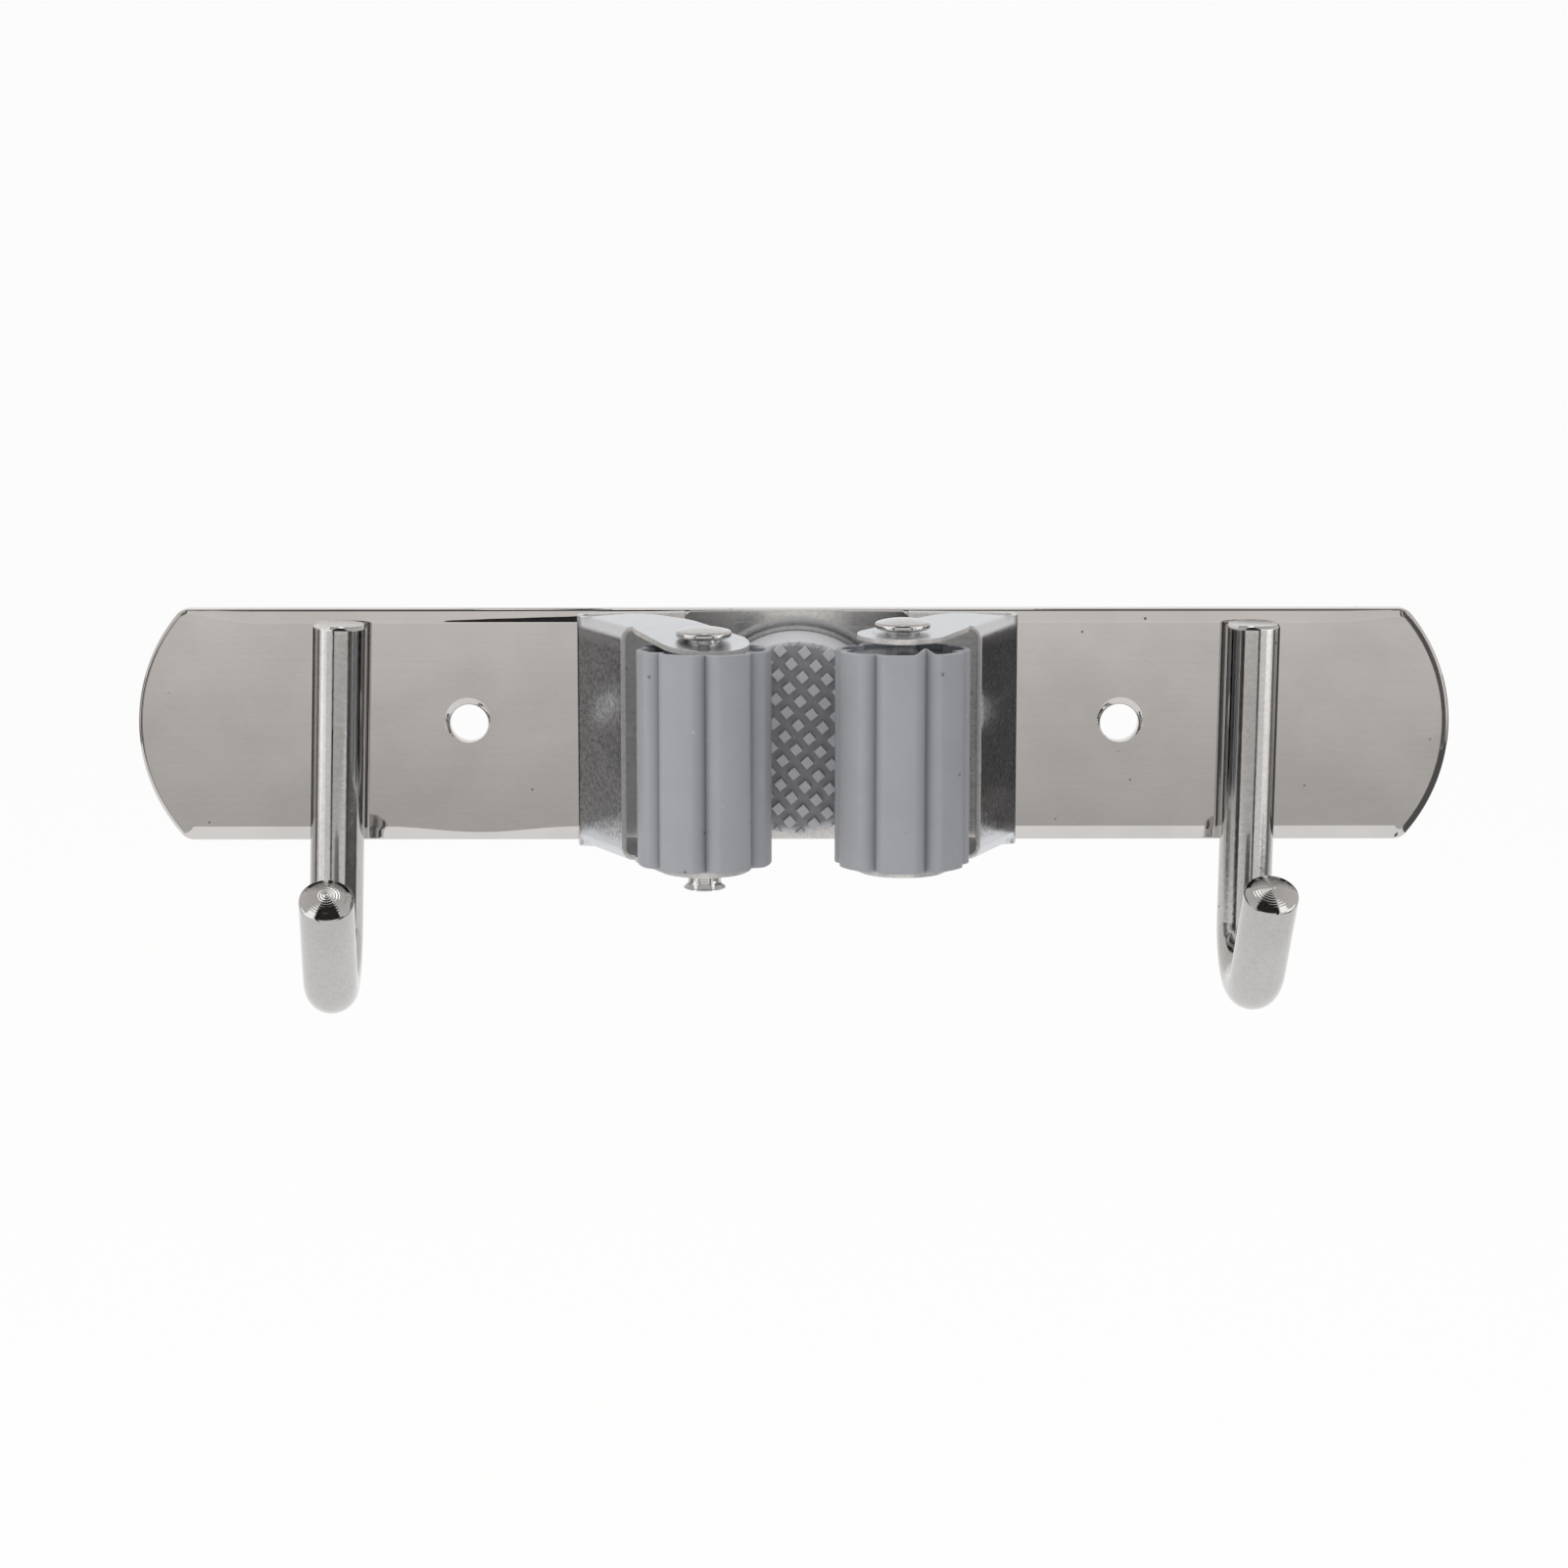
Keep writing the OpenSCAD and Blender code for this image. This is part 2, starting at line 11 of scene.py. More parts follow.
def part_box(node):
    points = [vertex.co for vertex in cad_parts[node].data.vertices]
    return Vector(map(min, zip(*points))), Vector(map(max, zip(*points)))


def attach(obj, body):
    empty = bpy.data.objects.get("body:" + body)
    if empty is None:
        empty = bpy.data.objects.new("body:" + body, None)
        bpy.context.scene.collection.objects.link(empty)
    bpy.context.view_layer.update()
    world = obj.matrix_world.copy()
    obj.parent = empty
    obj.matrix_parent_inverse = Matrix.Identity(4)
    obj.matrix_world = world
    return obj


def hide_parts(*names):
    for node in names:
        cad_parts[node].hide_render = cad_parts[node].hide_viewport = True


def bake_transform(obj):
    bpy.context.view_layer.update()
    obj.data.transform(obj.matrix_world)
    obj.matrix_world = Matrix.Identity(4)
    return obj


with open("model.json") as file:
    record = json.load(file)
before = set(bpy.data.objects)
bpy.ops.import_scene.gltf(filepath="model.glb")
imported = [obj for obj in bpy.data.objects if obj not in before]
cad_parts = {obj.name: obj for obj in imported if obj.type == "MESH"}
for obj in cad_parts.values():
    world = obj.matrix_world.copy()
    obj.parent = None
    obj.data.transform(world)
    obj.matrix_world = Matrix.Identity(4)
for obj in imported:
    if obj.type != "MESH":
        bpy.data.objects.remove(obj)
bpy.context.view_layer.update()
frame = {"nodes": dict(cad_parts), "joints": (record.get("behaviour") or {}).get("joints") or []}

MM = 0.001


def box_mm(node):
    """Lowest and highest corner of a node, in millimetres."""
    low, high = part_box(node)
    return low / MM, high / MM


def joint_mm(name):
    """A joint's place, in millimetres."""
    joint = next(j for j in frame["joints"] if j["name"] == name)
    return Vector(joint["pos_m"]) / MM


# Back plate, in millimetres; -1 is the left end and 1 the right end
PLATE_LOW, PLATE_HIGH = box_mm("back_plate")
PLATE_FRONT = PLATE_LOW.y
PLATE_SHEET = 1.0
PLATE_EDGE_R = 0.15
PLATE_GUARD = 0.3
END_R = 33
END_STEPS = 24
CORNER_R = 3.2
CORNER_STEPS = 8
LONG_STEPS = 48
TURN_R = 0.55
TURN_STEPS = 8
TURN_SHARE = 0.9
BAND = 2.4
BAND_DROP = 0.3
BAND_STEPS = 6
BAND_FROM = 0.12
BAND_SPAN = 0.76
BAND_EASE_W = 0.12
BAND_EASE_H = 0.02
END_RIM = {-1: 0.8, 1: 1.4}
END_SLOPE = {-1: 0, 1: 0.36}
END_FLAT = {-1: 0, 1: 0.5}
END_ROLL = {-1: 0.8, 1: 0.3}
END_FROM = 0.15
END_SPAN = 0.6
TOP_BAND_END = 104
TOP_BAND_FADE = 10
DENT_START = -70
DENT_END = -38
DENT_DEPTH = 0.42
DENT_SLOPE = 0.47
PINCH_X = -60
PINCH_REACH = 19
PINCH_SHARE = 0.42
SCREW_X = 62
SCREW_R = 3.6
SCREW_COLLAR = 0.9
FLARE = 0.62
FLARE_RISE = 0.62
FLARE_SHIFT = {-1: -0.2, 1: 0.1}
FLARE_CURVE = ((0, 1), (0.06, 0.88), (0.16, 0.64), (0.28, 0.4), (0.44, 0.18), (0.62, 0.05), (1, 0))

# Hooks; profiles are (length along the rod, depth under its surface)
HOOK_R = 5.1
HOOK_STAND_OFF = 0.3
HOOK_AXIS_Y = PLATE_FRONT - HOOK_STAND_OFF - HOOK_R
HOOK_X = 86.3
HOOK_TOP = 20.2
HOOK_SIDES = 72
HOOK_BEVEL = 0.6
HOOK_TOP_PROFILE = ((0, HOOK_R), (0, 0.75), (0.08, 0.5), (HOOK_BEVEL, 0.06), (0.9, 0))
SHANK_TOP = HOOK_TOP - 1.5
SHANK_STEPS = 12
BEND_R = 10
BEND_STEPS = 40
LEG_STEPS = 8
DOME_R = 8.5
DOME_NEAR = HOOK_R + 0.5
SHOULDER = ((0.25, 0), (0.05, 0.03))
DOME_EDGE = (0.965, 0.92, 0.85)
RINGS = 11
RING_H = 0.02
RING_FROM = 0.75
RING_STEPS = 56
HOOKS = {
    "hook_left": dict(side=-1, drop=52.55, tip=38.5, leg=23.4, lean=1.75, turn=2),
    "hook_right": dict(side=1, drop=52, tip=34, leg=21.4, lean=0.75, turn=3),
}

# Clip strip: bowed wings, a fold to each web, and the dish in its middle
CLIP_X = 0.4
CLIP_HALF_H = 22
SHEET = 1.0
CUT_EDGE_R = 0.13
CUT_ANGLE = 50
BOW_FRONT = -5
BOW_R = 280
BOW_MID_R = BOW_R + SHEET / 2
BOW_C = BOW_FRONT - BOW_R
FLEX_X = 22
FLEX_RUN = (3.2, -2.4)
SEAM_X = 21.2
SEAM_SLACK = 0.2
WING_STEPS = 14
WING_FACING = 0.9
FOLD_X = 39
FOLD_R = 2.5
FOLD_MID_R = FOLD_R - SHEET / 2
FOLD_PATH_R = BOW_R - (FOLD_R - SHEET)
FOLD_A = asin(FOLD_X / FOLD_PATH_R)
FOLD_AXIS = Vector((FOLD_X, BOW_C + FOLD_PATH_R * cos(FOLD_A), 0))
FOLD_STEPS = 10
WEB_LEAN = 26.85
WEB_L = 17.4
WEB_HALF_H = CLIP_HALF_H - FOLD_R
WEB_STEPS = 12
WEB_ROWS = 6
TO_WEB = Matrix.Translation(FOLD_AXIS) @ Matrix.Rotation(radians(270 - WEB_LEAN), 4, "Z")
ARM_SET = {"left": -2, "right": 2}
DISH_R = 19.3
DISH_LIP_R = DISH_R - 0.35
DISH_LIP_W = 1.9
DISH_LIP_STEPS = 9
DISH_RADII = (4, 9, 14, 17.5, DISH_R - 0.5)
DISH_SIDES = 144
DISH_MID_Y = PLATE_FRONT - SHEET / 2

# Ears; u runs along the web from the fold and v across it
PIN_U = 31.5
PIN_V = FOLD_R - 9.9
EAR_R = 8.4
EAR_ROUND_STEPS = 28
EAR_BACK = 2.2
EAR_BACK_STEPS = 6
EAR_BEND_STEPS = 8
EAR_NARROW = 3.1
EAR_TAPER = 10.2
EAR_TAPER_R = 12
EAR_SLOPE = 1.7
EAR_CORNER = 3.4
EAR_CORNER_R = 2.5
EAR_HEEL_R = 1.2
EAR_NOTCH = 2
EAR_NOTCH_R = 1.5
EAR_STEP = 0.4
EAR_SAG = {"left": 5.8, "right": 0}
EAR_MID_Z = CLIP_HALF_H - SHEET / 2
EAR_HOLE_R = 3.17
EAR_HOLE_SIDES = 32
EAR_GRID = 1.3
EAR_GRID_CLEAR = 0.6
EAR_GRID_U = 60
EAR_GRID_V = 40

# Grip pad
PAD_R = 18.2
PAD_SIDES = 120
PAD_EDGE = 0.6
PAD_EDGE_STEPS = 6
PAD_BACK = PLATE_FRONT - SHEET
PAD_BACK_EDGE = 0.4
PAD_FIELD = PAD_BACK - 13.5
PAD_TURN = 5
STUD_H = 1.5
STUD_W = 1.8
STUD_PITCH = 3.25
STUD_EDGE = 0.1
STUD_EDGE_MID = 0.3
STUD_ROOT = 0.3
STUD_RIM_GAP = 0.05
STUD_CORNERS = ((-1, -1), (1, -1), (1, 1), (-1, 1))

# Rollers; the rim is (further in than the lip, depth below the end)
LOBES = 7
LOBE_STEPS = 40
ROLLER_R = 12.37
GROOVE_DEPTH = 1.9
GROOVE_HALF_W = 2.7
GROOVE_FALL = 1.6
ROLLER_LIP = 1.2
ROLLER_HOLLOW = 1.2
ROLLER_EDGE = 0.35
ROLLER_EDGE_STEPS = 5
ROLLER_RIM = ((-0.3, 0.0), (-0.08, 0.07), (0, 0.3), (0.1, ROLLER_HOLLOW - 0.2), (0.5, ROLLER_HOLLOW))
ROLLER_BORE_R = 3.13
ROLLER_TURN = {"left": 297.6, "right": 266.6}
TOP_SLOPE = 0.049
FOOT_SLOPE = 0.018
FOOT_DROP = 0.22
FLASH = {
    "left": dict(at=-27.5, reach=1.0, height=0.25),
    "right": dict(at=23.3, reach=2.2, height=1.0),
}
FLASH_FRONT = 5
FLASH_DEPTH = 0.2

# Roller pins
PIN_R = 3.05
HEAD_R = 5.1
HEAD_T = 1.15
HEAD_TOP_EDGE = 0.55
HEAD_LOW_EDGE = 0.45
PIN_DOME = 0.8
PIN_DOME_STEPS = 8
PIN_DOME_RIM = 0.8
PIN_DOME_SEAT = 0.02
COLLAR_R = 4
COLLAR_T = 0.15
COLLAR_EDGE = 0.05
BORE_R = 1.8
BORE_L = 4
BORE_EDGE = 0.35
PIN_FLARE_R = 3.9
PIN_FLARE = {"left": 1.3, "right": 0.75}
PIN_FLARE_STEPS = (0.0, 0.25, 0.5, 0.75, 0.93, 1)
PIN_FLARE_EDGE = 0.15
TAIL_NECK = 0.4
TAIL_HOLLOW = 0.05
PETALS = 6
PETAL_STEPS = 20
PETAL_SPLIT = 0.8
PETAL_ROOT = 0.25

# Looks; cells are counted to the metre, and depths are in millimetres
MIX_FIRST = 6
MIX_SECOND = 7
MIX_RESULT = 2
HAZE_CELLS = 60
HAZE_SHADE = 0.93
LINE_CELLS = (25, 900, 900)
CRYSTAL_CELLS = 1300
CRYSTAL_COLOR = (0.02, 0.02, 0.02)
CRYSTAL_FADE = 2
CRYSTAL_LEFT = 0.1
STEEL_PITS = dict(scale=420, size=0.16, share=0.05)
PIT_SHADE = 0.35
PIT_ROUGH = 0.5
WAVE_CELLS = 28
PEEL_CELLS = 900
SATIN_COLOR = (0.72, 0.735, 0.765)
SATIN_FADE = 4
CLOUD_CELLS = 90
RUBBER_SHINE = 0.35
SPECKS = dict(scale=300, size=0.15, share=0.09)
SPECK_COLOR = (0.06, 0.06, 0.065)
SPECK_SHARE = 0.6
DUST = dict(scale=380, size=0.13, share=0.06)
DUST_SHARE = 0.5
GRAIN_CELLS = 2600
GRAIN_H = 0.03
CLOUD_H = 0.2
# Painted shade on the pad's field: its fade, and how far in from the rim it stops
RECESS_SHADE_FADE = 0.3
RECESS_SHADE_RIM_IN = 1.3
RECESS_SHADE_RIM_OUT = 0.7


class Nodes:
    """A node tree built node by node; a socket given as a value is linked, anything else is set."""

    def __init__(self, tree):
        self.tree = tree

    def give(self, node, inputs):
        for key, value in inputs.items():
            if isinstance(value, bpy.types.NodeSocket):
                self.tree.links.new(value, node.inputs[key])
            else:
                node.inputs[key].default_value = value

    def node(self, kind, inputs=None, **settings):
        made = self.tree.nodes.new("ShaderNode" + kind)
        for key, value in settings.items():
            setattr(made, key, value)
        self.give(made, inputs or {})
        return made

    def mix(self, share, first, second):
        """A share of the second colour over the first."""
        made = self.node("Mix", {"Factor": share}, data_type="RGBA")
        for slot, color in ((MIX_FIRST, first), (MIX_SECOND, second)):
            linked = isinstance(color, bpy.types.NodeSocket)
            self.give(made, {slot: color if linked else (*color, 1)})
        return made.outputs[MIX_RESULT]


class Look(Nodes):
    """A material and the textures that its looks are made of."""

    def __init__(self, name, inputs):
        self.material = bpy.data.materials.new(name)
        self.material.use_nodes = True
        super().__init__(self.material.node_tree)
        self.bsdf = self.tree.nodes["Principled BSDF"]
        self.spot = self.node("TexCoord").outputs["Object"]
        self.give(self.bsdf, inputs)

    def math(self, operation, first, second):
        return self.node("Math", {0: first, 1: second}, operation=operation).outputs[0]

    def along(self, axis):
        """Object coordinate along one axis."""
        return self.node("SeparateXYZ", {"Vector": self.spot}).outputs[axis]

    def stretched(self, scale):
        """Object coordinates, scaled by axis."""
        return self.node("Mapping", {"Vector": self.spot, "Scale": scale}).outputs[0]

    def noise(self, scale, detail, rough, stretch=None):
        """Noise of about `scale` cells to the metre."""
        where = self.stretched(stretch) if stretch else self.spot
        inputs = {"Vector": where, "Scale": scale, "Detail": detail, "Roughness": rough}
        return self.node("TexNoise", inputs).outputs["Fac"]

    def ramp(self, value, low, high, to_low=0.0, to_high=1.0):
        """`value` between low and high, mapped smoothly to the given range."""
        inputs = {"Value": value, "From Min": low, "From Max": high, "To Min": to_low, "To Max": to_high}
        return self.node("MapRange", inputs, interpolation_type="SMOOTHSTEP").outputs["Result"]

    def bump(self, height, distance, below=None):
        """A normal raised by `height` times a distance in millimetres."""
        inputs = {"Height": height, "Distance": distance * MM}
        if below:
            inputs["Normal"] = below
        return self.node("Bump", inputs).outputs["Normal"]

    def specks(self, scale, size, share):
        """Sparse round dots: 1 in a dot and 0 between dots."""
        cells = self.node("TexVoronoi", {"Vector": self.spot, "Scale": scale})
        draw = self.node("SeparateColor", {"Color": cells.outputs["Color"]}).outputs[0]
        chosen = self.math("GREATER_THAN", draw, 1 - share)
        near = self.ramp(cells.outputs["Distance"], size, 0.4 * size)
        return self.math("MULTIPLY", chosen, near)


def polished(name, color, rough, wave=0.2, peel=0.012, grain=0.002, speckle=0.0, metal=1.0,
             satin_from=0, satin=0.0):
    """Polished steel: a faint waviness, drawn lines, orange peel, a few pits and a share of dark speckle.

    Above and below the height `satin_from` the speckle fades out and the steel is satin."""
    look = Look(name, {"Metallic": metal})
    haze = look.noise(HAZE_CELLS, 4, 0.6)
    lines = look.noise(1, 5, 0.65, stretch=LINE_CELLS)
    pits = look.specks(**STEEL_PITS)
    body = look.mix(look.ramp(haze, 0.35, 0.7), color, [HAZE_SHADE * c for c in color])
    crystals = look.ramp(look.noise(CRYSTAL_CELLS, 4, 0.7), 0.4, 0.64, 0.0, speckle)
    spread = look.math("ADD", look.ramp(haze, 0.3, 0.75, 0.6 * rough, 1.3 * rough),
                       look.ramp(lines, 0.45, 0.8, 0.0, 0.7 * rough))
    if satin_from:
        height = look.math("ABSOLUTE", look.along("Z"), 0)
        start, stop = satin_from * MM, (satin_from + SATIN_FADE) * MM
        kept = look.ramp(height, start, (satin_from + CRYSTAL_FADE) * MM, 1.0, CRYSTAL_LEFT)
        crystals = look.math("MULTIPLY", crystals, kept)
        body = look.mix(look.ramp(height, start, stop), body, SATIN_COLOR)
        spread = look.math("MAXIMUM", spread, look.ramp(height, start, stop, 0.0, satin))
    body = look.mix(crystals, body, CRYSTAL_COLOR)
    normal = look.bump(look.noise(WAVE_CELLS, 2, 0.4), wave)
    normal = look.bump(look.noise(PEEL_CELLS, 2, 0.5), peel, below=normal)
    look.give(look.bsdf, {
        "Base Color": look.mix(pits, body, [PIT_SHADE * c for c in color]),
        "Roughness": look.math("MAXIMUM", spread, look.math("MULTIPLY", pits, PIT_ROUGH)),
        "Normal": look.bump(lines, grain, below=normal),
    })
    return look.material


def recess_shade_share(look, depth):
    """Painted shade in the pad's recess: 1 behind a depth in millimetres and 0 before it, and 0 on the
    pad's rim.
    """
    low = look.ramp(look.along("Y"), (depth - RECESS_SHADE_FADE) * MM, (depth + RECESS_SHADE_FADE) * MM)
    off_axis = look.node("VectorMath", {0: look.stretched((1, 0, 1))}, operation="LENGTH").outputs["Value"]
    inner = look.ramp(off_axis, (PAD_R - RECESS_SHADE_RIM_IN) * MM, (PAD_R - RECESS_SHADE_RIM_OUT) * MM, 1.0, 0.0)
    return look.math("MULTIPLY", low, inner)


def groove_shade_share(look, reach):
    """Painted shade: 1 in grooves about as wide as a reach in millimetres and 0 in the open, from the
    piece's own occlusion.
    """
    shade = look.node("AmbientOcclusion", {"Distance": reach * MM}, samples=8, only_local=True)
    return look.ramp(shade.outputs["AO"], 0.4, 1.0, 1.0, 0.0)


def rubber(name, color, shade, dust, recess_shade_depth=None, recess_shade_color=None, groove_shade_reach=None, groove_shade_color=None):
    """Satin moulded rubber with fine grain, faint mottling, dark specks and pale dust.

    Behind a given depth it takes a darker colour as painted shade in a recess, and in grooves about as
    wide as a given reach a darker colour as painted shade."""
    look = Look(name, {"Specular IOR Level": RUBBER_SHINE})
    cloud = look.noise(CLOUD_CELLS, 5, 0.6)
    dark = look.math("MULTIPLY", look.specks(**SPECKS), SPECK_SHARE)
    pale = look.math("MULTIPLY", look.specks(**DUST), DUST_SHARE)
    body = look.mix(look.ramp(cloud, 0.35, 0.7), color, shade)
    # Painted shade in the recess, behind mid-height of the studs
    if recess_shade_depth:
        body = look.mix(recess_shade_share(look, recess_shade_depth), body, recess_shade_color)
    # Painted shade in the grooves, from the piece's own occlusion
    if groove_shade_reach:
        body = look.mix(groove_shade_share(look, groove_shade_reach), body, groove_shade_color)
    body = look.mix(pale, body, dust)
    grain = look.bump(look.noise(GRAIN_CELLS, 3, 0.6), GRAIN_H)
    look.give(look.bsdf, {
        "Base Color": look.mix(dark, body, SPECK_COLOR),
        "Roughness": look.ramp(cloud, 0.3, 0.75, 0.42, 0.56),
        "Normal": look.bump(cloud, CLOUD_H, below=grain),
    })
    return look.material


PLATE_STEEL = polished("plate_steel", (0.62, 0.6, 0.585), rough=0.04, wave=0.12, peel=0.002)
ROD_STEEL = polished("rod_steel", (0.53, 0.52, 0.508), rough=0.12, wave=0.1, peel=0.01, speckle=0.09)
SPRING_STEEL = polished("spring_steel", (0.565, 0.578, 0.602), rough=0.17, speckle=0.45, satin_from=17,
                        satin=0.36)
# Painted light: a paler, part-diffuse copy of the spring steel for the wings' front faces, to make them
# look brighter
WING_PAINTED_LIGHT = polished("wing_painted_light", (0.9, 0.89, 0.87), rough=0.3, speckle=0.1, metal=0.3)
TIP_STEEL = polished("tip_steel", (0.56, 0.55, 0.54), rough=0.05, wave=0.1, peel=0.004, speckle=0.05)
DISH_STEEL = polished("dish_steel", (0.65, 0.64, 0.63), rough=0.26, speckle=0.12)
CUT_STEEL = polished("cut_steel", (0.74, 0.73, 0.72), rough=0.45, wave=0.1, peel=0.02, speckle=0.15,
                     metal=0.55)
RIVET_STEEL = polished("rivet_steel", (0.57, 0.56, 0.55), rough=0.14, wave=0.1, peel=0.01, speckle=0.08)
WELD_STEEL = polished("weld_steel", (0.45, 0.44, 0.43), rough=0.3, peel=0.04, grain=0.01)
# The rollers take painted shade in their grooves
ROLLER_RUBBER = rubber("roller_rubber", (0.3, 0.312, 0.336), (0.284, 0.296, 0.318), (0.5, 0.51, 0.53),
                       groove_shade_reach=6, groove_shade_color=(0.2, 0.21, 0.232))
# The pad takes painted shade on its field, behind mid-height of the studs
PAD_RUBBER = rubber("pad_rubber", (0.54, 0.552, 0.576), (0.52, 0.53, 0.555), (0.6, 0.61, 0.63),
                    recess_shade_depth=PAD_FIELD - STUD_H / 2, recess_shade_color=(0.335, 0.333, 0.35))


def clamp(value):
    """A value held between 0 and 1."""
    return min(max(value, 0), 1)


def smooth(share):
    """A share from 0 to 1, eased at both ends."""
    return share * share * (3 - 2 * share)


def hump(offset, reach):
    """1 in the middle of a round hump and 0 at its reach."""
    return 0.5 + 0.5 * cos(pi * offset / reach)


def turns(count):
    """The angles of a full turn in even steps."""
    return [2 * pi * k / count for k in range(count)]


def shares(count, first=0):
    """Shares up to 1 in even steps, from 0 or from a later step."""
    return [k / count for k in range(first, count + 1)]


def rounded(corners, steps):
    """A polyline through corners given as (x, y) or (x, y, radius), each radius turned as an arc."""
    line = []
    for i, corner in enumerate(corners):
        here = Vector(corner[:2])
        radius = corner[2] if len(corner) > 2 else 0
        if not radius:
            line.append(here)
            continue
        back = (Vector(corners[i - 1][:2]) - here).normalized()
        on = (Vector(corners[(i + 1) % len(corners)][:2]) - here).normalized()
        half = back.angle(on) / 2
        middle = here + (back + on).normalized() * radius / sin(half)
        first = here + back * radius / tan(half)
        last = here + on * radius / tan(half)
        for share in shares(steps):
            line.append(middle + radius * (first - middle).slerp(last - middle, share).normalized())
    return line


def skin(rows, closed):
    """Faces between rows of equal length, whose points are numbered in order."""
    width = len(rows[0])
    faces = []
    for r in range(len(rows) - 1):
        for c in range(width if closed else width - 1):
            n = (c + 1) % width
            faces.append((r * width + c, r * width + n, (r + 1) * width + n, (r + 1) * width + c))
    return faces


def link(name, data):
    """Adds an object with the given data to the scene."""
    made = bpy.data.objects.new(name, data)
    bpy.context.scene.collection.objects.link(made)
    return made


def finish_mesh(name, bm, material, sharp=40):
    """Closes up a bmesh in millimetres and makes it a piece in metres, smooth up to an angle."""
    bmesh.ops.remove_doubles(bm, verts=bm.verts, dist=1e-4)
    bmesh.ops.dissolve_degenerate(bm, dist=1e-5, edges=bm.edges)
    bmesh.ops.recalc_face_normals(bm, faces=bm.faces)
    bmesh.ops.scale(bm, vec=(MM, MM, MM), verts=bm.verts)
    mesh = bpy.data.meshes.new(name)
    bm.to_mesh(mesh)
    bm.free()
    mesh.shade_smooth()
    mesh.set_sharp_from_angle(angle=radians(sharp))
    mesh.materials.append(material)
    piece = link(name, mesh)
    weigh = piece.modifiers.new("weigh", "WEIGHTED_NORMAL")
    weigh.keep_sharp = True
    weigh.weight = 100
    return piece


def add_rows(bm, rows, closed=True):
    """Adds a skin of rows to a bmesh and returns its rows of vertices."""
    verts = [bm.verts.new(p) for row in rows for p in row]
    for face in skin(rows, closed):
        bm.faces.new([verts[i] for i in face])
    width = len(rows[0])
    return [verts[i:i + width] for i in range(0, len(verts), width)]


def ring(radius, y, x=0.0, z=0.0, count=64):
    """Points round an axis along Y."""
    return [Vector((x + radius * cos(t), y, z + radius * sin(t))) for t in turns(count)]


def within(point, outline):
    """Whether a point lies inside an outline."""
    odd = False
    for p, q in zip(outline, outline[1:] + outline[:1]):
        if (p.y > point.y) != (q.y > point.y):
            if point.x < p.x + (q.x - p.x) * (point.y - p.y) / (q.y - p.y):
                odd = not odd
    return odd


def fill(bm, flat, loops, inside=()):
    """Triangles inside the first loop of vertices and outside the others.

    `flat` gives a vertex in the plane; `inside` holds vertices that lie free in between."""
    verts = [v for loop in loops for v in loop] + list(inside)
    edges = []
    first = 0
    for loop in loops:
        edges += [(first + k, first + (k + 1) % len(loop)) for k in range(len(loop))]
        first += len(loop)
    points = [flat(v) for v in verts]
    spots, _, faces, sources, _, _ = delaunay_2d_cdt(points, edges, [], 1, 1e-6)
    holes = [[flat(v) for v in loop] for loop in loops[1:]]
    for corners in faces:
        middle = sum((spots[c] for c in corners), Vector((0, 0))) / len(corners)
        if any(within(middle, hole) for hole in holes):
            continue
        bm.faces.new([verts[sources[c][0]] for c in corners])


def plate_outline(inset):
    """Points round the plate, drawn in by `inset`."""
    half_w = (PLATE_HIGH.x - PLATE_LOW.x) / 2
    half_h = (PLATE_HIGH.z - PLATE_LOW.z) / 2
    middle_z = (PLATE_HIGH.z + PLATE_LOW.z) / 2
    end_x = half_w - END_R
    end_r = END_R - inset
    tilt = asin((half_h - CORNER_R) / (END_R - CORNER_R))
    corner_x = end_x + (END_R - CORNER_R) * cos(tilt)
    corner = Vector((corner_x, half_h - CORNER_R))
    corner_r = CORNER_R - inset
    quarter = []
    for s in shares(END_STEPS):
        quarter.append((end_x + end_r * cos(tilt * s), end_r * sin(tilt * s)))
    for s in shares(CORNER_STEPS, 1):
        a = tilt + (pi / 2 - tilt) * s
        quarter.append((corner.x + corner_r * cos(a), corner.y + corner_r * sin(a)))
    quarter += [(corner.x * (1 - s), half_h - inset) for s in shares(LONG_STEPS, 1)]
    half = quarter + [(-x, z) for x, z in reversed(quarter[:-1])]
    whole = half + [(x, -z) for x, z in reversed(half[1:-1])]
    return [Vector((x, 0, z + middle_z)) for x, z in whole]


def rim_profile():
    """The plate's rim as (inset, depth): an edge turned from the wall, and a sloped band."""
    front = PLATE_FRONT
    turn_y = front + BAND_DROP + TURN_R
    slope = BAND_DROP / (BAND - TURN_R)
    line = [(0, -PLATE_EDGE_R), (0, turn_y)]
    for s in shares(TURN_STEPS, 1):
        a = pi / 2 * s * TURN_SHARE
        line.append((TURN_R - TURN_R * cos(a), turn_y - TURN_R * sin(a)))
    for s in shares(BAND_STEPS):
        inset = TURN_R + (BAND - TURN_R) * (BAND_FROM + BAND_SPAN * s)
        line.append((inset, front + slope * (BAND - inset)))
    return line + [(BAND, front + BAND_EASE_H), (BAND + BAND_EASE_W, front), (BAND + PLATE_GUARD, front)]


def end_depth(side, share):
    """Depth of a round end's rim at a share of its width: a slope, then a roll back to the wall."""
    flat = END_FLAT[side]
    rolled = max((share - flat) / (1 - flat), 0)
    depth = PLATE_FRONT + END_SLOPE[side] * END_RIM[side] * share
    return depth + END_ROLL[side] * (1 - sqrt(1 - rolled ** 2))


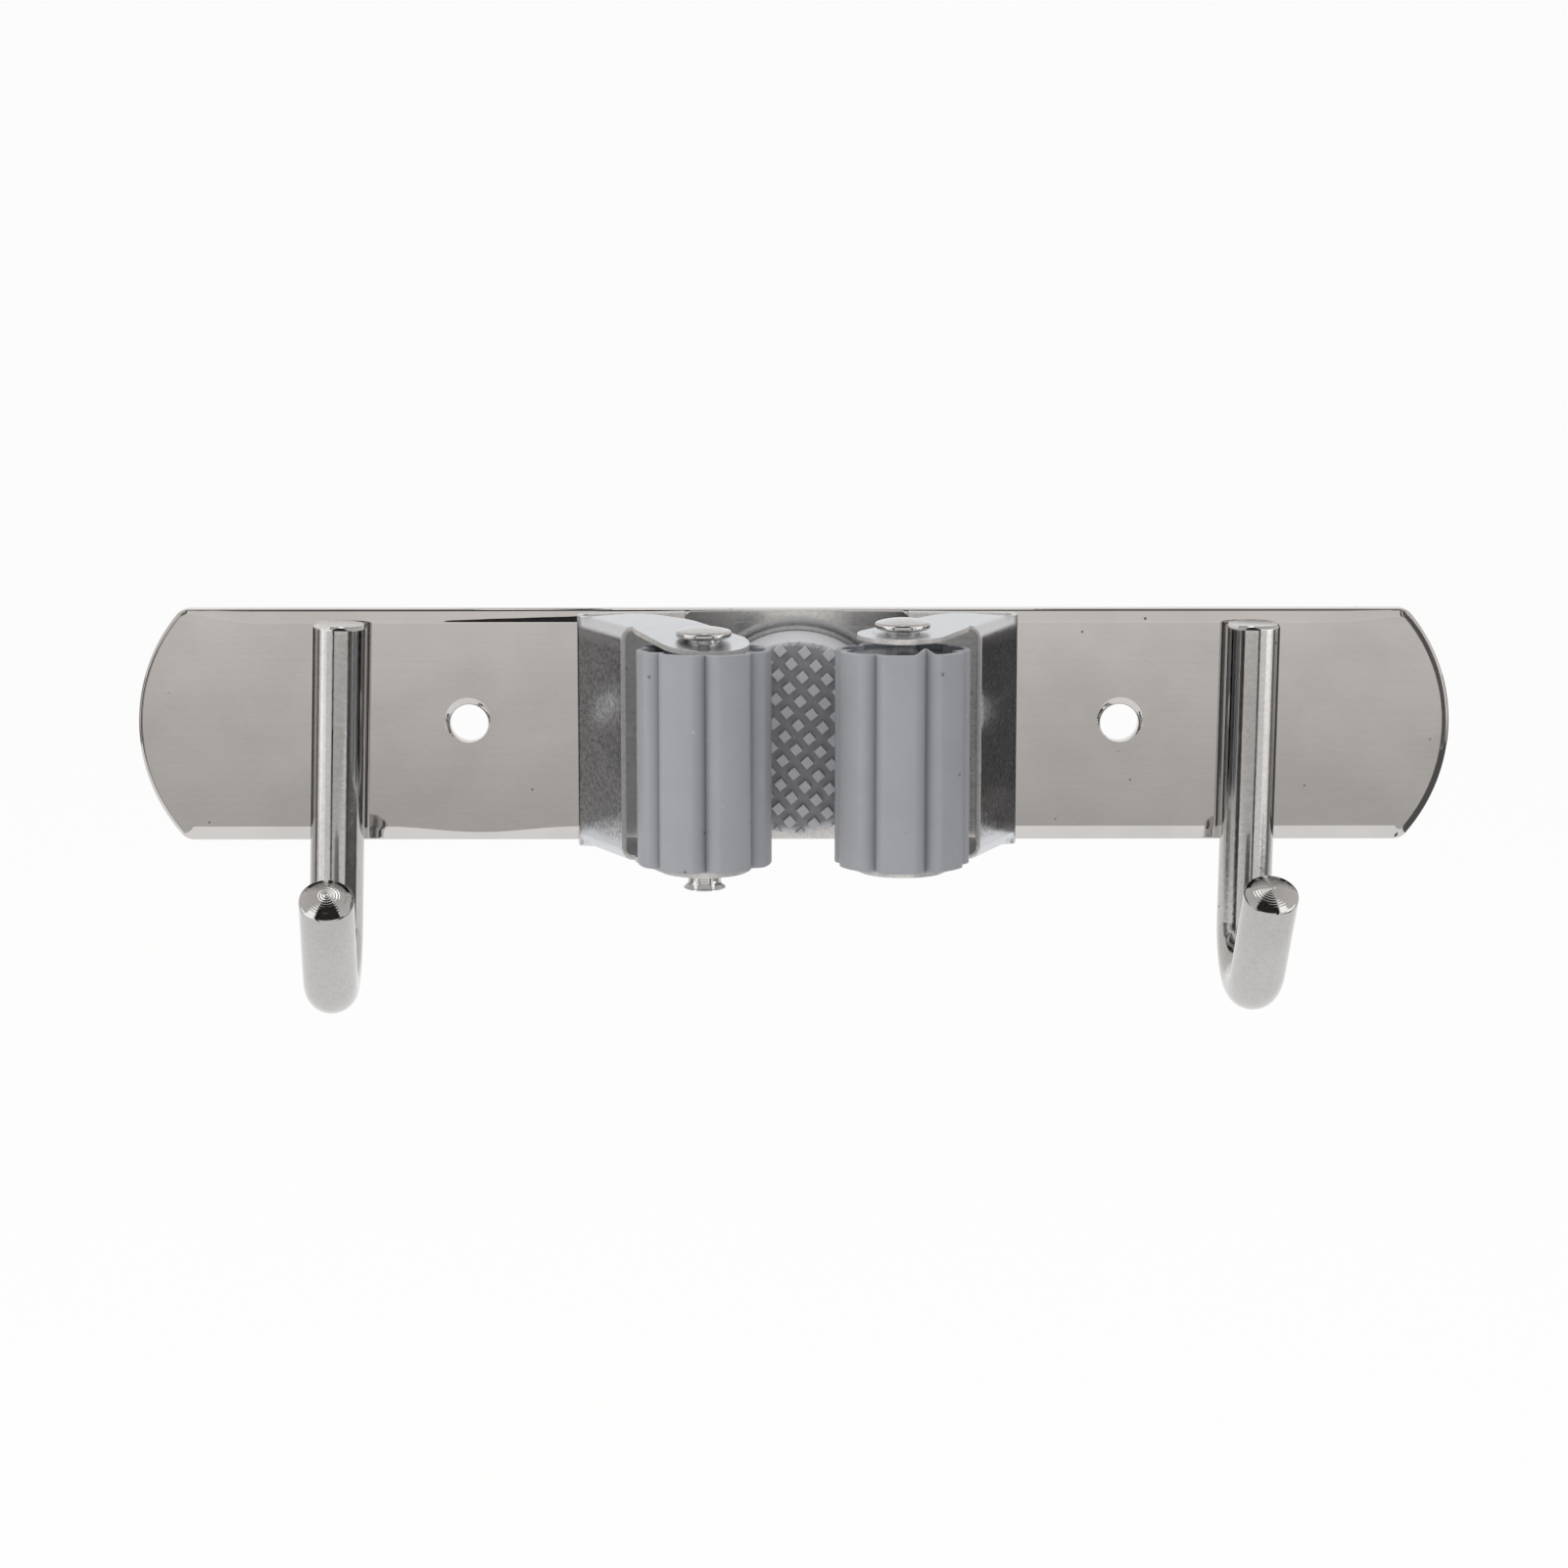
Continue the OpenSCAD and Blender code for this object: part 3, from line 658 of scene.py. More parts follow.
def roll_end(p, out, inset):
    """Narrows the band towards the round ends and turns it over there; `out` is p's place on the edge."""
    side = 1 if out.x > 0 else -1
    end = smooth(clamp((abs(out.x - p.x) / inset - END_FROM) / END_SPAN))
    narrow = end
    if p.z > 0:
        narrow = max(clamp((abs(out.x) - TOP_BAND_END) / TOP_BAND_FADE), end)
    narrow *= 1 - END_RIM[side] / BAND
    p.x += (out.x - p.x) * narrow
    p.z += (out.z - p.z) * narrow
    p.y -= min(p.y - PLATE_FRONT, BAND_DROP) * narrow * (1 - end)
    p.y += (end_depth(side, max(1 - inset / BAND, 0)) - p.y) * end


def dent_top(p, inset):
    """Presses the top band in beside the clip."""
    if p.z > 0 and DENT_START < p.x < DENT_END and inset < BAND:
        along = DENT_DEPTH * (p.x - DENT_START) / (DENT_END - DENT_START)
        p.y += min((BAND - inset) * DENT_SLOPE, along)


def pinch_low(p, out):
    """Narrows the lower band between the left hook and the clip."""
    offset = p.x - PINCH_X
    if p.z < 0 and abs(offset) < PINCH_REACH:
        p.z += (out.z - p.z) * PINCH_SHARE * hump(offset, PINCH_REACH)


def work_edges(row, inset):
    """Shapes a row of the tray, drawn in by `inset`, away from an even rim."""
    if inset > 0:
        for p, out in zip(row, plate_outline(0)):
            roll_end(p, out, inset)
            dent_top(p, inset)
            pinch_low(p, out)
    return row


def screw_rows(side):
    """Rings of one screw hole, from the front down its flare and out to its collar."""
    x = side * SCREW_X
    wide = SCREW_R + FLARE
    shift = FLARE_SHIFT[side]
    collar = SCREW_R + SCREW_COLLAR
    rows = [ring(wide + guard, PLATE_FRONT, x + shift, FLARE_RISE)
            for guard in (2 * PLATE_GUARD, PLATE_GUARD)]
    for depth, share in FLARE_CURVE:
        rows.append(ring(SCREW_R + FLARE * share, PLATE_FRONT + PLATE_SHEET * depth,
                         x + shift * share, FLARE_RISE * share))
    behind = [(SCREW_R, -PLATE_EDGE_R), (SCREW_R + PLATE_EDGE_R, 0), (collar - PLATE_EDGE_R, 0),
              (collar, -PLATE_EDGE_R), (collar, PLATE_FRONT + PLATE_SHEET)]
    return rows + [ring(radius, y, x) for radius, y in behind]


def make_back_plate():
    """The pressed tray with its turned rim and two flared screw holes."""
    sheet = PLATE_SHEET
    back = PLATE_FRONT + sheet
    step = PLATE_FRONT + BAND_DROP + sheet
    outside = rim_profile()
    inside = [(BAND + PLATE_GUARD, back), (TURN_R + sheet, step), (sheet, step + TURN_R),
              (sheet, -PLATE_EDGE_R), (sheet - PLATE_EDGE_R, 0), (PLATE_EDGE_R, 0), outside[0]]
    bm = bmesh.new()

    def tray_rows(profile, work):
        rows = []
        for inset, y in profile:
            row = [Vector((p.x, y, p.z)) for p in plate_outline(inset)]
            rows.append(work_edges(row, inset) if work else row)
        return add_rows(bm, rows)

    outer_rows = tray_rows(outside, True)
    inner_rows = tray_rows(inside, False)
    holes = [add_rows(bm, screw_rows(side)) for side in (-1, 1)]
    fill(bm, lambda v: v.co.xz, [outer_rows[-1], *(hole[0] for hole in holes)])
    fill(bm, lambda v: v.co.xz, [inner_rows[0], *(hole[-1] for hole in holes)])
    return finish_mesh("wall_plate", bm, PLATE_STEEL)


def hook_stations(drop, sweep):
    """A rod from its top end down the shank and round the bend, as (y, z, angle, radius)."""
    bend_z = HOOK_R + BEND_R - drop
    stations = [(0, HOOK_TOP - below, 0, HOOK_R - inside) for below, inside in HOOK_TOP_PROFILE]
    for s in shares(SHANK_STEPS):
        stations.append((0, SHANK_TOP + (bend_z - SHANK_TOP) * s, 0, HOOK_R))
    for s in shares(BEND_STEPS, 1):
        a = sweep * s
        y = -BEND_R + BEND_R * cos(a)
        stations.append((y, bend_z - BEND_R * sin(a), a, HOOK_R))
    return stations


def leg_profile(leg, shoulder):
    """A rod's leg and the turned dome on its tip, as (run, radius) from the end of the bend."""
    edge = asin(HOOK_R / DOME_R)
    line = [(shoulder * s, HOOK_R) for s in shares(LEG_STEPS, 1)[:-1]]
    line += [(shoulder - before, HOOK_R - inside) for before, inside in SHOULDER]
    rings = [RING_FROM * (1 - s) for s in shares(RING_STEPS)]
    for s in [*DOME_EDGE, *rings]:
        run = leg - DOME_R + DOME_R * cos(edge * s)
        if s < RING_FROM:
            run += RING_H * sin(2 * pi * RINGS * s)
        line.append((run, DOME_R * sin(edge * s)))
    return line


def make_hook(name, side, drop, tip, leg, lean, turn):
    """One bent rod, from its bevelled top end round to the dome on its tip."""
    sweep = radians(180 - tip)
    stations = hook_stations(drop, sweep)
    foot_y, foot_z = stations[-1][:2]
    ahead = (-sin(sweep), -cos(sweep))
    shoulder = leg - DOME_R + sqrt(DOME_R ** 2 - HOOK_R ** 2)
    for run, radius in leg_profile(leg, shoulder):
        stations.append((foot_y + ahead[0] * run, foot_z + ahead[1] * run, sweep, radius))
    stand = Matrix.Translation((side * HOOK_X, HOOK_AXIS_Y, 0)) @ Matrix.Rotation(radians(lean), 4, "Y")
    stand = stand @ Matrix.Rotation(radians(turn), 4, "Z")
    aside = Vector((1, 0, 0))
    rows = []
    for y, z, a, radius in stations:
        middle = Vector((0, y, z))
        across = Vector((0, cos(a), -sin(a)))
        rows.append([stand @ (middle + radius * (cos(t) * aside + sin(t) * across))
                     for t in turns(HOOK_SIDES)])
    bm = bmesh.new()
    add_rows(bm, rows)
    crown = stand @ Vector((0, foot_y + ahead[0] * shoulder, foot_z + ahead[1] * shoulder))
    along = stand.to_3x3() @ Vector((0, *ahead))
    for face in bm.faces:
        middle = face.calc_center_median()
        if middle.z > HOOK_TOP - HOOK_BEVEL / 2:
            face.material_index = 1
        if (middle - crown).length < DOME_NEAR and (middle - crown).dot(along) > 0:
            face.material_index = 2
    rod = finish_mesh(name.replace("hook", "rod"), bm, ROD_STEEL)
    rod.data.materials.append(CUT_STEEL)
    rod.data.materials.append(TIP_STEEL)
    return rod


def bow_y(x):
    """Depth of the bowed strip's middle surface."""
    return BOW_C + sqrt(BOW_MID_R ** 2 - x ** 2)


def on_seam(edge):
    """Whether an edge lies where the strip's middle meets an arm."""
    return all(abs(abs(v.co.x - CLIP_X) - SEAM_X) < SEAM_SLACK for v in edge.verts)


def thicken(name, bm, steel):
    """Gives a middle surface its thickness and eases its cut edges, but not those on a seam."""
    bmesh.ops.remove_doubles(bm, verts=bm.verts, dist=1e-3)
    bmesh.ops.recalc_face_normals(bm, faces=bm.faces)
    mesh = bpy.data.meshes.new("middle")
    bm.to_mesh(mesh)
    bm.free()
    mesh.materials.append(steel)
    mesh.materials.append(CUT_STEEL)
    piece = link("middle", mesh)
    solid = piece.modifiers.new("thick", "SOLIDIFY")
    solid.thickness = SHEET
    solid.offset = 0
    solid.use_even_offset = True
    solid.use_quality_normals = True
    solid.material_offset_rim = 1
    solved = piece.evaluated_get(bpy.context.evaluated_depsgraph_get())
    solid_mesh = bpy.data.meshes.new_from_object(solved)
    bpy.data.objects.remove(piece)
    made = bmesh.new()
    made.from_mesh(solid_mesh)
    inner = [e for e in made.edges if len(e.link_faces) == 2]
    cuts = [e for e in inner if e.calc_face_angle() > radians(CUT_ANGLE) and not on_seam(e)]
    bmesh.ops.bevel(made, geom=cuts, offset=CUT_EDGE_R, segments=2, profile=0.5, affect="EDGES",
                    clamp_overlap=True)
    sheet = finish_mesh(name, made, steel, sharp=35)
    sheet.data.materials.append(CUT_STEEL)
    return sheet


def dish_y(x, z):
    """Depth of the middle piece: the bowed strip, drawn back to the dish's flat floor."""
    share = clamp((hypot(x, z) - DISH_LIP_R) / DISH_LIP_W)
    return DISH_MID_Y + (bow_y(x) - DISH_MID_Y) * smooth(share)


def make_clip_middle():
    """The strip's fixed middle with its dish; it ends where the arms start to flex."""
    lip = [DISH_LIP_R + DISH_LIP_W * s for s in shares(DISH_LIP_STEPS)]
    rows = []
    for radius in [*DISH_RADII, *lip]:
        spots = [(radius * cos(t), radius * sin(t)) for t in turns(DISH_SIDES)]
        rows.append([Vector((x, dish_y(x, z), z)) for x, z in spots])
    edge = []
    for t in turns(DISH_SIDES):
        reach = min(SEAM_X / max(abs(cos(t)), 1e-9), CLIP_HALF_H / max(abs(sin(t)), 1e-9))
        x = reach * cos(t)
        edge.append(Vector((x, bow_y(x), reach * sin(t))))
    bm = bmesh.new()
    add_rows(bm, [*rows, edge])
    for v in bm.verts:
        v.co.x += CLIP_X
    return thicken("clip_middle", bm, DISH_STEEL)


def strip_column(spot):
    """One column of the strip, bottom to top.

    `spot` takes 0 and a height on the flat, or -1 or 1 for an end and the share of its bend."""
    bend = shares(EAR_BEND_STEPS, 1)
    column = [spot(-1, s) for s in reversed(bend)]
    column += [spot(0, WEB_HALF_H * k / WEB_ROWS) for k in range(-WEB_ROWS, WEB_ROWS + 1)]
    return column + [spot(1, s) for s in bend]


def flat_z(end, where):
    """Height of a spot on the unbent strip."""
    return end * (WEB_HALF_H + (CLIP_HALF_H - WEB_HALF_H) * where) if end else where


def upright(x, y):
    """Spots of a column of the wing or the fold."""
    return lambda end, where: Vector((x, y, flat_z(end, where)))


def webbed(u, curl):
    """Spots of a column of the web; `curl` is how far its ends are bent in to the ears."""
    def spot(end, where):
        straight = Vector((u, FOLD_MID_R, flat_z(end, where)))
        if not end:
            return TO_WEB @ straight
        a = pi / 2 * where
        bent = Vector((u, FOLD_MID_R * cos(a), end * (WEB_HALF_H + FOLD_MID_R * sin(a))))
        return TO_WEB @ straight.lerp(bent, curl)
    return spot


def strip_columns():
    """Columns of one side of the strip: wing, fold and web."""
    spots = []
    for s in shares(WING_STEPS):
        x = SEAM_X + (FOLD_X * BOW_MID_R / FOLD_PATH_R - SEAM_X) * s
        spots.append(upright(x, bow_y(x)))
    start = pi / 2 - FOLD_A
    stop = -radians(WEB_LEAN)
    for s in shares(FOLD_STEPS, 1)[:-1]:
        a = start + (stop - start) * s
        spots.append(upright(FOLD_AXIS.x + FOLD_MID_R * cos(a), FOLD_AXIS.y + FOLD_MID_R * sin(a)))
    spots += [webbed(EAR_BACK * s, smooth(s)) for s in shares(EAR_BACK_STEPS)]
    spots += [webbed(EAR_BACK + (WEB_L - EAR_BACK) * s, 1) for s in shares(WEB_STEPS, 1)]
    return [strip_column(spot) for spot in spots]


def ear_outline():
    """An ear's free outline in u and v, from the back of the web round the pin to its front."""
    inner = PIN_V - EAR_R
    narrow = inner + EAR_NARROW
    rear = [(EAR_BACK, 0),
            (EAR_BACK, narrow + EAR_SLOPE + EAR_CORNER, EAR_HEEL_R),
            (EAR_BACK + EAR_CORNER, narrow + EAR_SLOPE, EAR_CORNER_R),
            (EAR_BACK + EAR_TAPER, narrow, EAR_TAPER_R),
            (PIN_U, inner)]
    front = [(PIN_U, PIN_V + EAR_R),
             (WEB_L + EAR_NOTCH, PIN_V + EAR_R - EAR_STEP, EAR_NOTCH_R),
             (WEB_L, 0)]
    outline = rounded(rear, 6)[1:-1]
    for a in (pi * s for s in shares(EAR_ROUND_STEPS)):
        outline.append(Vector((PIN_U + EAR_R * sin(a), PIN_V - EAR_R * cos(a))))
    return outline + rounded(front, 5)[1:-1]


def ear_field(rim, hole):
    """A grid of points on an ear, clear of its rim and its hole."""
    field = []
    for i in range(EAR_GRID_U):
        for j in range(EAR_GRID_V):
            p = Vector((EAR_BACK + EAR_GRID * i, PIN_V - EAR_R + EAR_GRID * j))
            clear = min((p - q).length for q in rim + hole) > EAR_GRID_CLEAR * EAR_GRID
            if clear and within(p, rim) and not within(p, hole):
                field.append(p)
    return field


def add_ears(bm, columns, sag):
    """Joins an ear to each end of the web; the upper one droops by `sag` degrees."""
    outline = ear_outline()
    web_edge = [Vector((EAR_BACK + (WEB_L - EAR_BACK) * s, 0)) for s in reversed(shares(WEB_STEPS))]
    rim = web_edge + outline
    hole = [Vector((PIN_U + EAR_HOLE_R * cos(a), PIN_V + EAR_HOLE_R * sin(a)))
            for a in turns(EAR_HOLE_SIDES)]
    field = ear_field(rim, hole)
    for end, droop in ((1, radians(sag)), (-1, 0)):

        def lay(p):
            past = max(p.x - WEB_L, 0)
            u = p.x - past + past * cos(droop)
            return bm.verts.new(TO_WEB @ Vector((u, p.y, end * EAR_MID_Z - past * sin(droop))))

        edge = [column[-1 if end > 0 else 0] for column in reversed(columns)]
        loop = edge + [lay(p) for p in outline]
        hole_verts = [lay(p) for p in hole]
        field_verts = [lay(p) for p in field]
        spots = dict(zip(loop + hole_verts + field_verts, rim + hole + field))
        fill(bm, lambda v: spots[v], [loop, hole_verts], field_verts)


def set_arm(bm, side):
    """Turns an arm to its rest angle, blended in along the flex, and puts it on its side."""
    flex = Vector((FLEX_X, bow_y(FLEX_X), 0))
    seam = Vector((SEAM_X, bow_y(SEAM_X), 0))
    run = Vector((*FLEX_RUN, 0))
    turn = Matrix.Rotation(radians(ARM_SET[side]), 4, "Z")
    turned = Matrix.Translation(flex) @ turn @ Matrix.Translation(-flex)
    for v in bm.verts:
        rest = v.co.copy()
        share = clamp((rest - seam).dot(run) / run.length_squared)
        v.co = rest.lerp(turned @ rest, share)
        v.co.x = CLIP_X + (v.co.x if side == "right" else -v.co.x)


def make_arm(side):
    """One side of the strip: wing, fold, web and two ears, as one bent sheet."""
    bm = bmesh.new()
    columns = add_rows(bm, strip_columns(), closed=False)
    add_ears(bm, columns[-WEB_STEPS - 1:], EAR_SAG[side])
    set_arm(bm, side)
    arm = thicken("clip_spring_" + side, bm, SPRING_STEEL)
    arm.data.materials.append(WING_PAINTED_LIGHT)
    # The wings' front faces take the paler copy as painted light
    for face in arm.data.polygons:
        if face.material_index == 0 and face.normal.y < -WING_FACING:
            face.material_index = 2
    return arm


def lobed_radius(turn, inset):
    """Radius of a roller at an angle from the middle of a lobe."""
    step = 2 * pi / LOBES
    from_groove = step / 2 - abs((turn + step / 2) % step - step / 2)
    share = min(from_groove * ROLLER_R / GROOVE_HALF_W, 1)
    return ROLLER_R - GROOVE_DEPTH * (1 - share) ** GROOVE_FALL - inset


def roller_end():
    """A roller's end as (inset, depth): an eased edge, a lip and the hollow inside it."""
    edge = ROLLER_EDGE
    quarter = [pi / 2 * s for s in shares(ROLLER_EDGE_STEPS)]
    line = [(edge * (1 - cos(a)), edge * (1 - sin(a))) for a in quarter]
    return line + [(ROLLER_LIP + further, depth) for further, depth in ROLLER_RIM]


def flash_height(side, x):
    """Height of the bit of mould flash left on the front of a roller's top rim."""
    flash = FLASH[side]
    offset = x - flash["at"]
    return flash["height"] * hump(offset, flash["reach"]) if abs(offset) <= flash["reach"] else 0


def make_roller(side):
    """A lobed rubber roller with eased ends, a lip round each end and a bore."""
    low, high = box_mm("roller_" + side)
    axis = joint_mm(side + "_roller_spin")
    start = radians(ROLLER_TURN[side])

    def top_z(x, y, depth):
        z = high.z - TOP_SLOPE * (y - axis.y) - depth
        flashed = depth < FLASH_DEPTH and y <= axis.y - FLASH_FRONT
        return z + flash_height(side, x) if flashed else z

    def foot_z(x, y, depth):
        return low.z - FOOT_DROP - FOOT_SLOPE * (y - axis.y) + depth

    def row(radius_at, z_at, depth):
        points = []
        for t in turns(LOBES * LOBE_STEPS):
            x = axis.x + radius_at(t) * cos(t + start)
            y = axis.y + radius_at(t) * sin(t + start)
            points.append(Vector((x, y, z_at(x, y, depth))))
        return points

    def end_rows(z_at):
        rows = [row(lambda t, i=inset: lobed_radius(t, i), z_at, depth) for inset, depth in roller_end()]
        return rows + [row(lambda t: ROLLER_BORE_R, z_at, ROLLER_HOLLOW)]

    rows = end_rows(foot_z)[::-1] + end_rows(top_z)
    bm = bmesh.new()
    add_rows(bm, rows + [rows[0]])
    return finish_mesh("ribbed_roller_" + side, bm, ROLLER_RUBBER, sharp=50)


def pin_head(top):
    """A pin's domed head and collar as (radius, z), down to the shank."""
    rim = top - PIN_DOME
    under = rim - HEAD_T
    collar = under - COLLAR_T
    cap_r = (HEAD_R ** 2 + PIN_DOME ** 2) / (2 * PIN_DOME)
    cap_a = asin((HEAD_R - PIN_DOME_RIM) / cap_r)
    dome = [(cap_r * sin(a), top - cap_r + cap_r * cos(a))
            for a in (cap_a * s for s in shares(PIN_DOME_STEPS))]
    corners = [*dome,
               (HEAD_R, rim + PIN_DOME_SEAT, HEAD_TOP_EDGE),
               (HEAD_R, under, HEAD_LOW_EDGE),
               (COLLAR_R, under, COLLAR_EDGE),
               (COLLAR_R, collar, COLLAR_EDGE),
               (PIN_R, collar)]
    return rounded(corners, 6)


def pin_tail(foot, flare):
    """A pin's flared tail as (radius, z), from the shank round to the floor of its bore."""
    line = [(PIN_R, foot + flare + TAIL_NECK)]
    for s in PIN_FLARE_STEPS:
        radius = PIN_R + (PIN_FLARE_R - PIN_R) * s * s
        line.append((radius, foot + flare * (1 - s) + PIN_FLARE_EDGE * s))
    line += [(PIN_FLARE_R - PIN_FLARE_EDGE, foot), (BORE_R + BORE_EDGE, foot + TAIL_HOLLOW)]
    line += [(BORE_R, foot + BORE_EDGE), (BORE_R, foot + BORE_L), (0, foot + BORE_L)]
    return line


def make_pin(side):
    """A rivet: domed head, collar, shank and a flared tail split into petals."""
    low, high = box_mm("roller_pin_" + side)
    axis = joint_mm(side + "_roller_spin")
    head = pin_head(high.z)
    petal = 2 * pi / PETALS
    rows = []
    for i, (radius, z) in enumerate(head + pin_tail(low.z, PIN_FLARE[side])):
        in_tail = i > len(head) and radius > PIN_R
        row = []
        for t in turns(PETALS * PETAL_STEPS):
            off = (t + pi / PETALS) % petal - pi / PETALS
            split = in_tail and abs(off) * radius < PETAL_SPLIT / 2
            r = min(radius, PIN_R + PETAL_ROOT) if split else radius
            row.append(Vector((axis.x + r * cos(t), axis.y + r * sin(t), z)))
        rows.append(row)
    bm = bmesh.new()
    add_rows(bm, rows)
    return finish_mesh("roller_rivet_" + side, bm, RIVET_STEEL)


def clip_to_circle(points, radius):
    """The part of a convex outline inside a circle."""
    for a in turns(PAD_SIDES):
        normal = Vector((cos(a), sin(a)))
        kept = []
        for p, q in zip(points, points[1:] + points[:1]):
            inside_p = p.dot(normal) <= radius
            inside_q = q.dot(normal) <= radius
            if inside_p:
                kept.append(p)
            if inside_p != inside_q:
                kept.append(p.lerp(q, (radius - p.dot(normal)) / (q - p).dot(normal)))
        points = kept
        if len(points) < 3:
            return []
    return points


def shrink(points, by):
    """A convex outline drawn in towards its middle by about `by`."""
    middle = sum(points, Vector((0, 0))) / len(points)
    return [middle + (p - middle) * max(1 - by / max((p - middle).length, 1e-6), 0.2) for p in points]


def add_stud(bm, outline):
    """One stud that stands on the pad's field, with its top edge eased."""
    top = PAD_FIELD - STUD_H
    mid = STUD_EDGE_MID * STUD_EDGE
    levels = [(0, PAD_FIELD + STUD_ROOT), (0, top + STUD_EDGE), (mid, top + mid), (STUD_EDGE, top)]
    rows = [[Vector((p.x + CLIP_X, y, p.y)) for p in shrink(outline, by)] for by, y in levels]
    made = add_rows(bm, rows)
    bm.faces.new(made[-1])
    bm.faces.new(made[0][::-1])


def make_pad():
    """The round pad with its field of square studs, those at the rim cut to the circle."""
    edge = PAD_EDGE
    profile = [(0, PAD_FIELD), (PAD_R - edge, PAD_FIELD)]
    for a in (pi / 2 * s for s in shares(PAD_EDGE_STEPS, 1)):
        profile.append((PAD_R - edge + edge * sin(a), PAD_FIELD + edge - edge * cos(a)))
    profile += [(PAD_R, PAD_BACK - PAD_BACK_EDGE), (PAD_R - PAD_BACK_EDGE, PAD_BACK), (0, PAD_BACK)]
    bm = bmesh.new()
    add_rows(bm, [ring(radius, y, CLIP_X, 0, PAD_SIDES) for radius, y in profile])
    tilt = radians(45 - PAD_TURN)
    along = Vector((cos(tilt), sin(tilt)))
    across = Vector((-sin(tilt), cos(tilt)))
    reach = int(PAD_R / STUD_PITCH) + 2
    half = STUD_W / 2
    for i in range(-reach, reach):
        for j in range(-reach, reach):
            middle = (i + 0.5) * STUD_PITCH * along + (j + 0.5) * STUD_PITCH * across
            square = [middle + half * (sx * along + sy * across) for sx, sy in STUD_CORNERS]
            outline = clip_to_circle(square, PAD_R - STUD_RIM_GAP)
            if outline:
                add_stud(bm, outline)
    return finish_mesh("studded_pad", bm, PAD_RUBBER, sharp=30)


def put(piece, body, node):
    """Puts a piece on its body, in place of a CAD node."""
    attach(piece, body)
    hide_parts(node)
    return piece


def put_arm(side):
    """Makes an arm, blended over the flex, bakes its place into its mesh and hides its CAD node."""
    arm = make_arm(side)
    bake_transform(arm)
    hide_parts("clip_arm_" + side)


put(make_back_plate(), "rack", "back_plate")
rods = [put(make_hook(hook, **sizes), "rack", hook) for hook, sizes in HOOKS.items()]
put(make_clip_middle(), "rack", "clip_base")
rubbers = [put(make_pad(), "rack", "grip_pad")]
pins = []
for side in ("left", "right"):
    put_arm(side)
    rubbers.append(put(make_roller(side), side + "_roller", "roller_" + side))
    pins.append(put(make_pin(side), side + "_arm", "roller_pin_" + side))
for node, material in (("hook_welds", WELD_STEEL), ("clip_rivets", RIVET_STEEL)):
    frame["nodes"][node].data.materials.clear()
    frame["nodes"][node].data.materials.append(material)


# Stage, in metres
FLOOR_Z = -0.25
FLOOR_HALF_W = 1.0
FLOOR_FRONT = -1.1
BACKDROP_Y = 3.0
BACKDROP_TOP = 2.5
PAPER_GREY = 0.95
PAPER_GLOW = 0.9
SKY_TONE = (1.0, 0.972, 0.948)
SKY_STEPS = ((-0.22, 0.42), (-0.12, 0.88), (-0.05, 0.86), (0.2, 0.82), (0.6, 0.74), (1.0, 0.62))

# Soft boxes and cards on the right; each has a twin on the left
SIDE_LIGHT = 0.86
SIDE_BOXES = {
    "front_box": dict(where=(0.66, -0.45, 0.14), at=(0.66, 0, 0.14), size=(0.68, 0.72)),
    "flank_box": dict(where=(1.0, -0.24, 0.14), at=(0, -0.24, 0.14), size=(0.42, 0.72)),
}
SIDE_CARDS = {
    "strip": dict(low=(0.166, -0.258, -0.2), high=(0.2, -0.258, 0.1), grey=0.03),
    "far_side": dict(low=(1.05, -0.2, FLOOR_Z), high=(1.05, 0.25, 0.1), grey=0.25),
}

# Other cards, and the lamps over and before the rack; mirrors don't show the fills
CARDS = {
    "right_dark": dict(low=(0.41, -0.62, FLOOR_Z), high=(0.95, -0.62, 0.3), grey=0.16),
    "right_floor": dict(low=(0.34, -0.6, FLOOR_Z + 0.005), high=(1.0, 0.1, FLOOR_Z + 0.005), grey=0.12),
    "left_dark": dict(low=(-0.41, -0.62, FLOOR_Z), high=(-0.86, -0.62, 0.15), grey=0.1),
    "left_grey": dict(low=(-0.86, -0.62, FLOOR_Z), high=(-1.3, -0.62, 0.15), grey=0.6),
}
HIGH_DARK = ((-0.75, -1.0, 0.34), (0.75, -1.0, 0.34), (0.12, -0.25, 1.25), (-0.12, -0.25, 1.25))
HIGH_GREY = 0.04
TOP_LAMP = dict(where=(0.0, 0.05, 1.2), at=(0, 0.05, 0), size=(0.24, 0.24), radiance=2.6)
FILLS = {
    "key": dict(where=(-1.0, -0.8, 0.35), at=(0, 0, 0), size=(0.7, 0.6), radiance=0.9),
    "front_fill": dict(where=(0, -1.3, 0.3), at=(0, 0, 0), size=(0.8, 0.6), radiance=0.8),
    "top_fill": dict(where=(0, -0.2, 1.3), at=(0, -0.1, 0), size=(1.6, 1.4), radiance=1.0),
}


def matt(name, grey):
    return Look(name, {"Base Color": (grey, grey, grey, 1), "Roughness": 1.0, "Specular IOR Level": 0.0})


def paper():
    """Paper that looks white, also in mirrors, and keeps a part of the object's shadow."""
    look = matt("paper", PAPER_GREY)
    path = look.node("LightPath").outputs
    seen = look.math("MAXIMUM", path["Is Camera Ray"], path["Is Glossy Ray"])
    seen = look.math("MAXIMUM", seen, path["Is Transmission Ray"])
    white = look.node("Emission").outputs[0]
    share = look.math("MULTIPLY", seen, PAPER_GLOW)
    mixed = look.node("MixShader", {0: share, 1: look.bsdf.outputs[0], 2: white})
    look.give(look.tree.nodes["Material Output"], {"Surface": mixed.outputs[0]})
    return look


def stage_plane(name, corners, look):
    mesh = bpy.data.meshes.new(name)
    mesh.from_pydata(corners, [], [(0, 1, 2, 3)])
    mesh.materials.append(look.material)
    plane = link(name, mesh)
    return plane


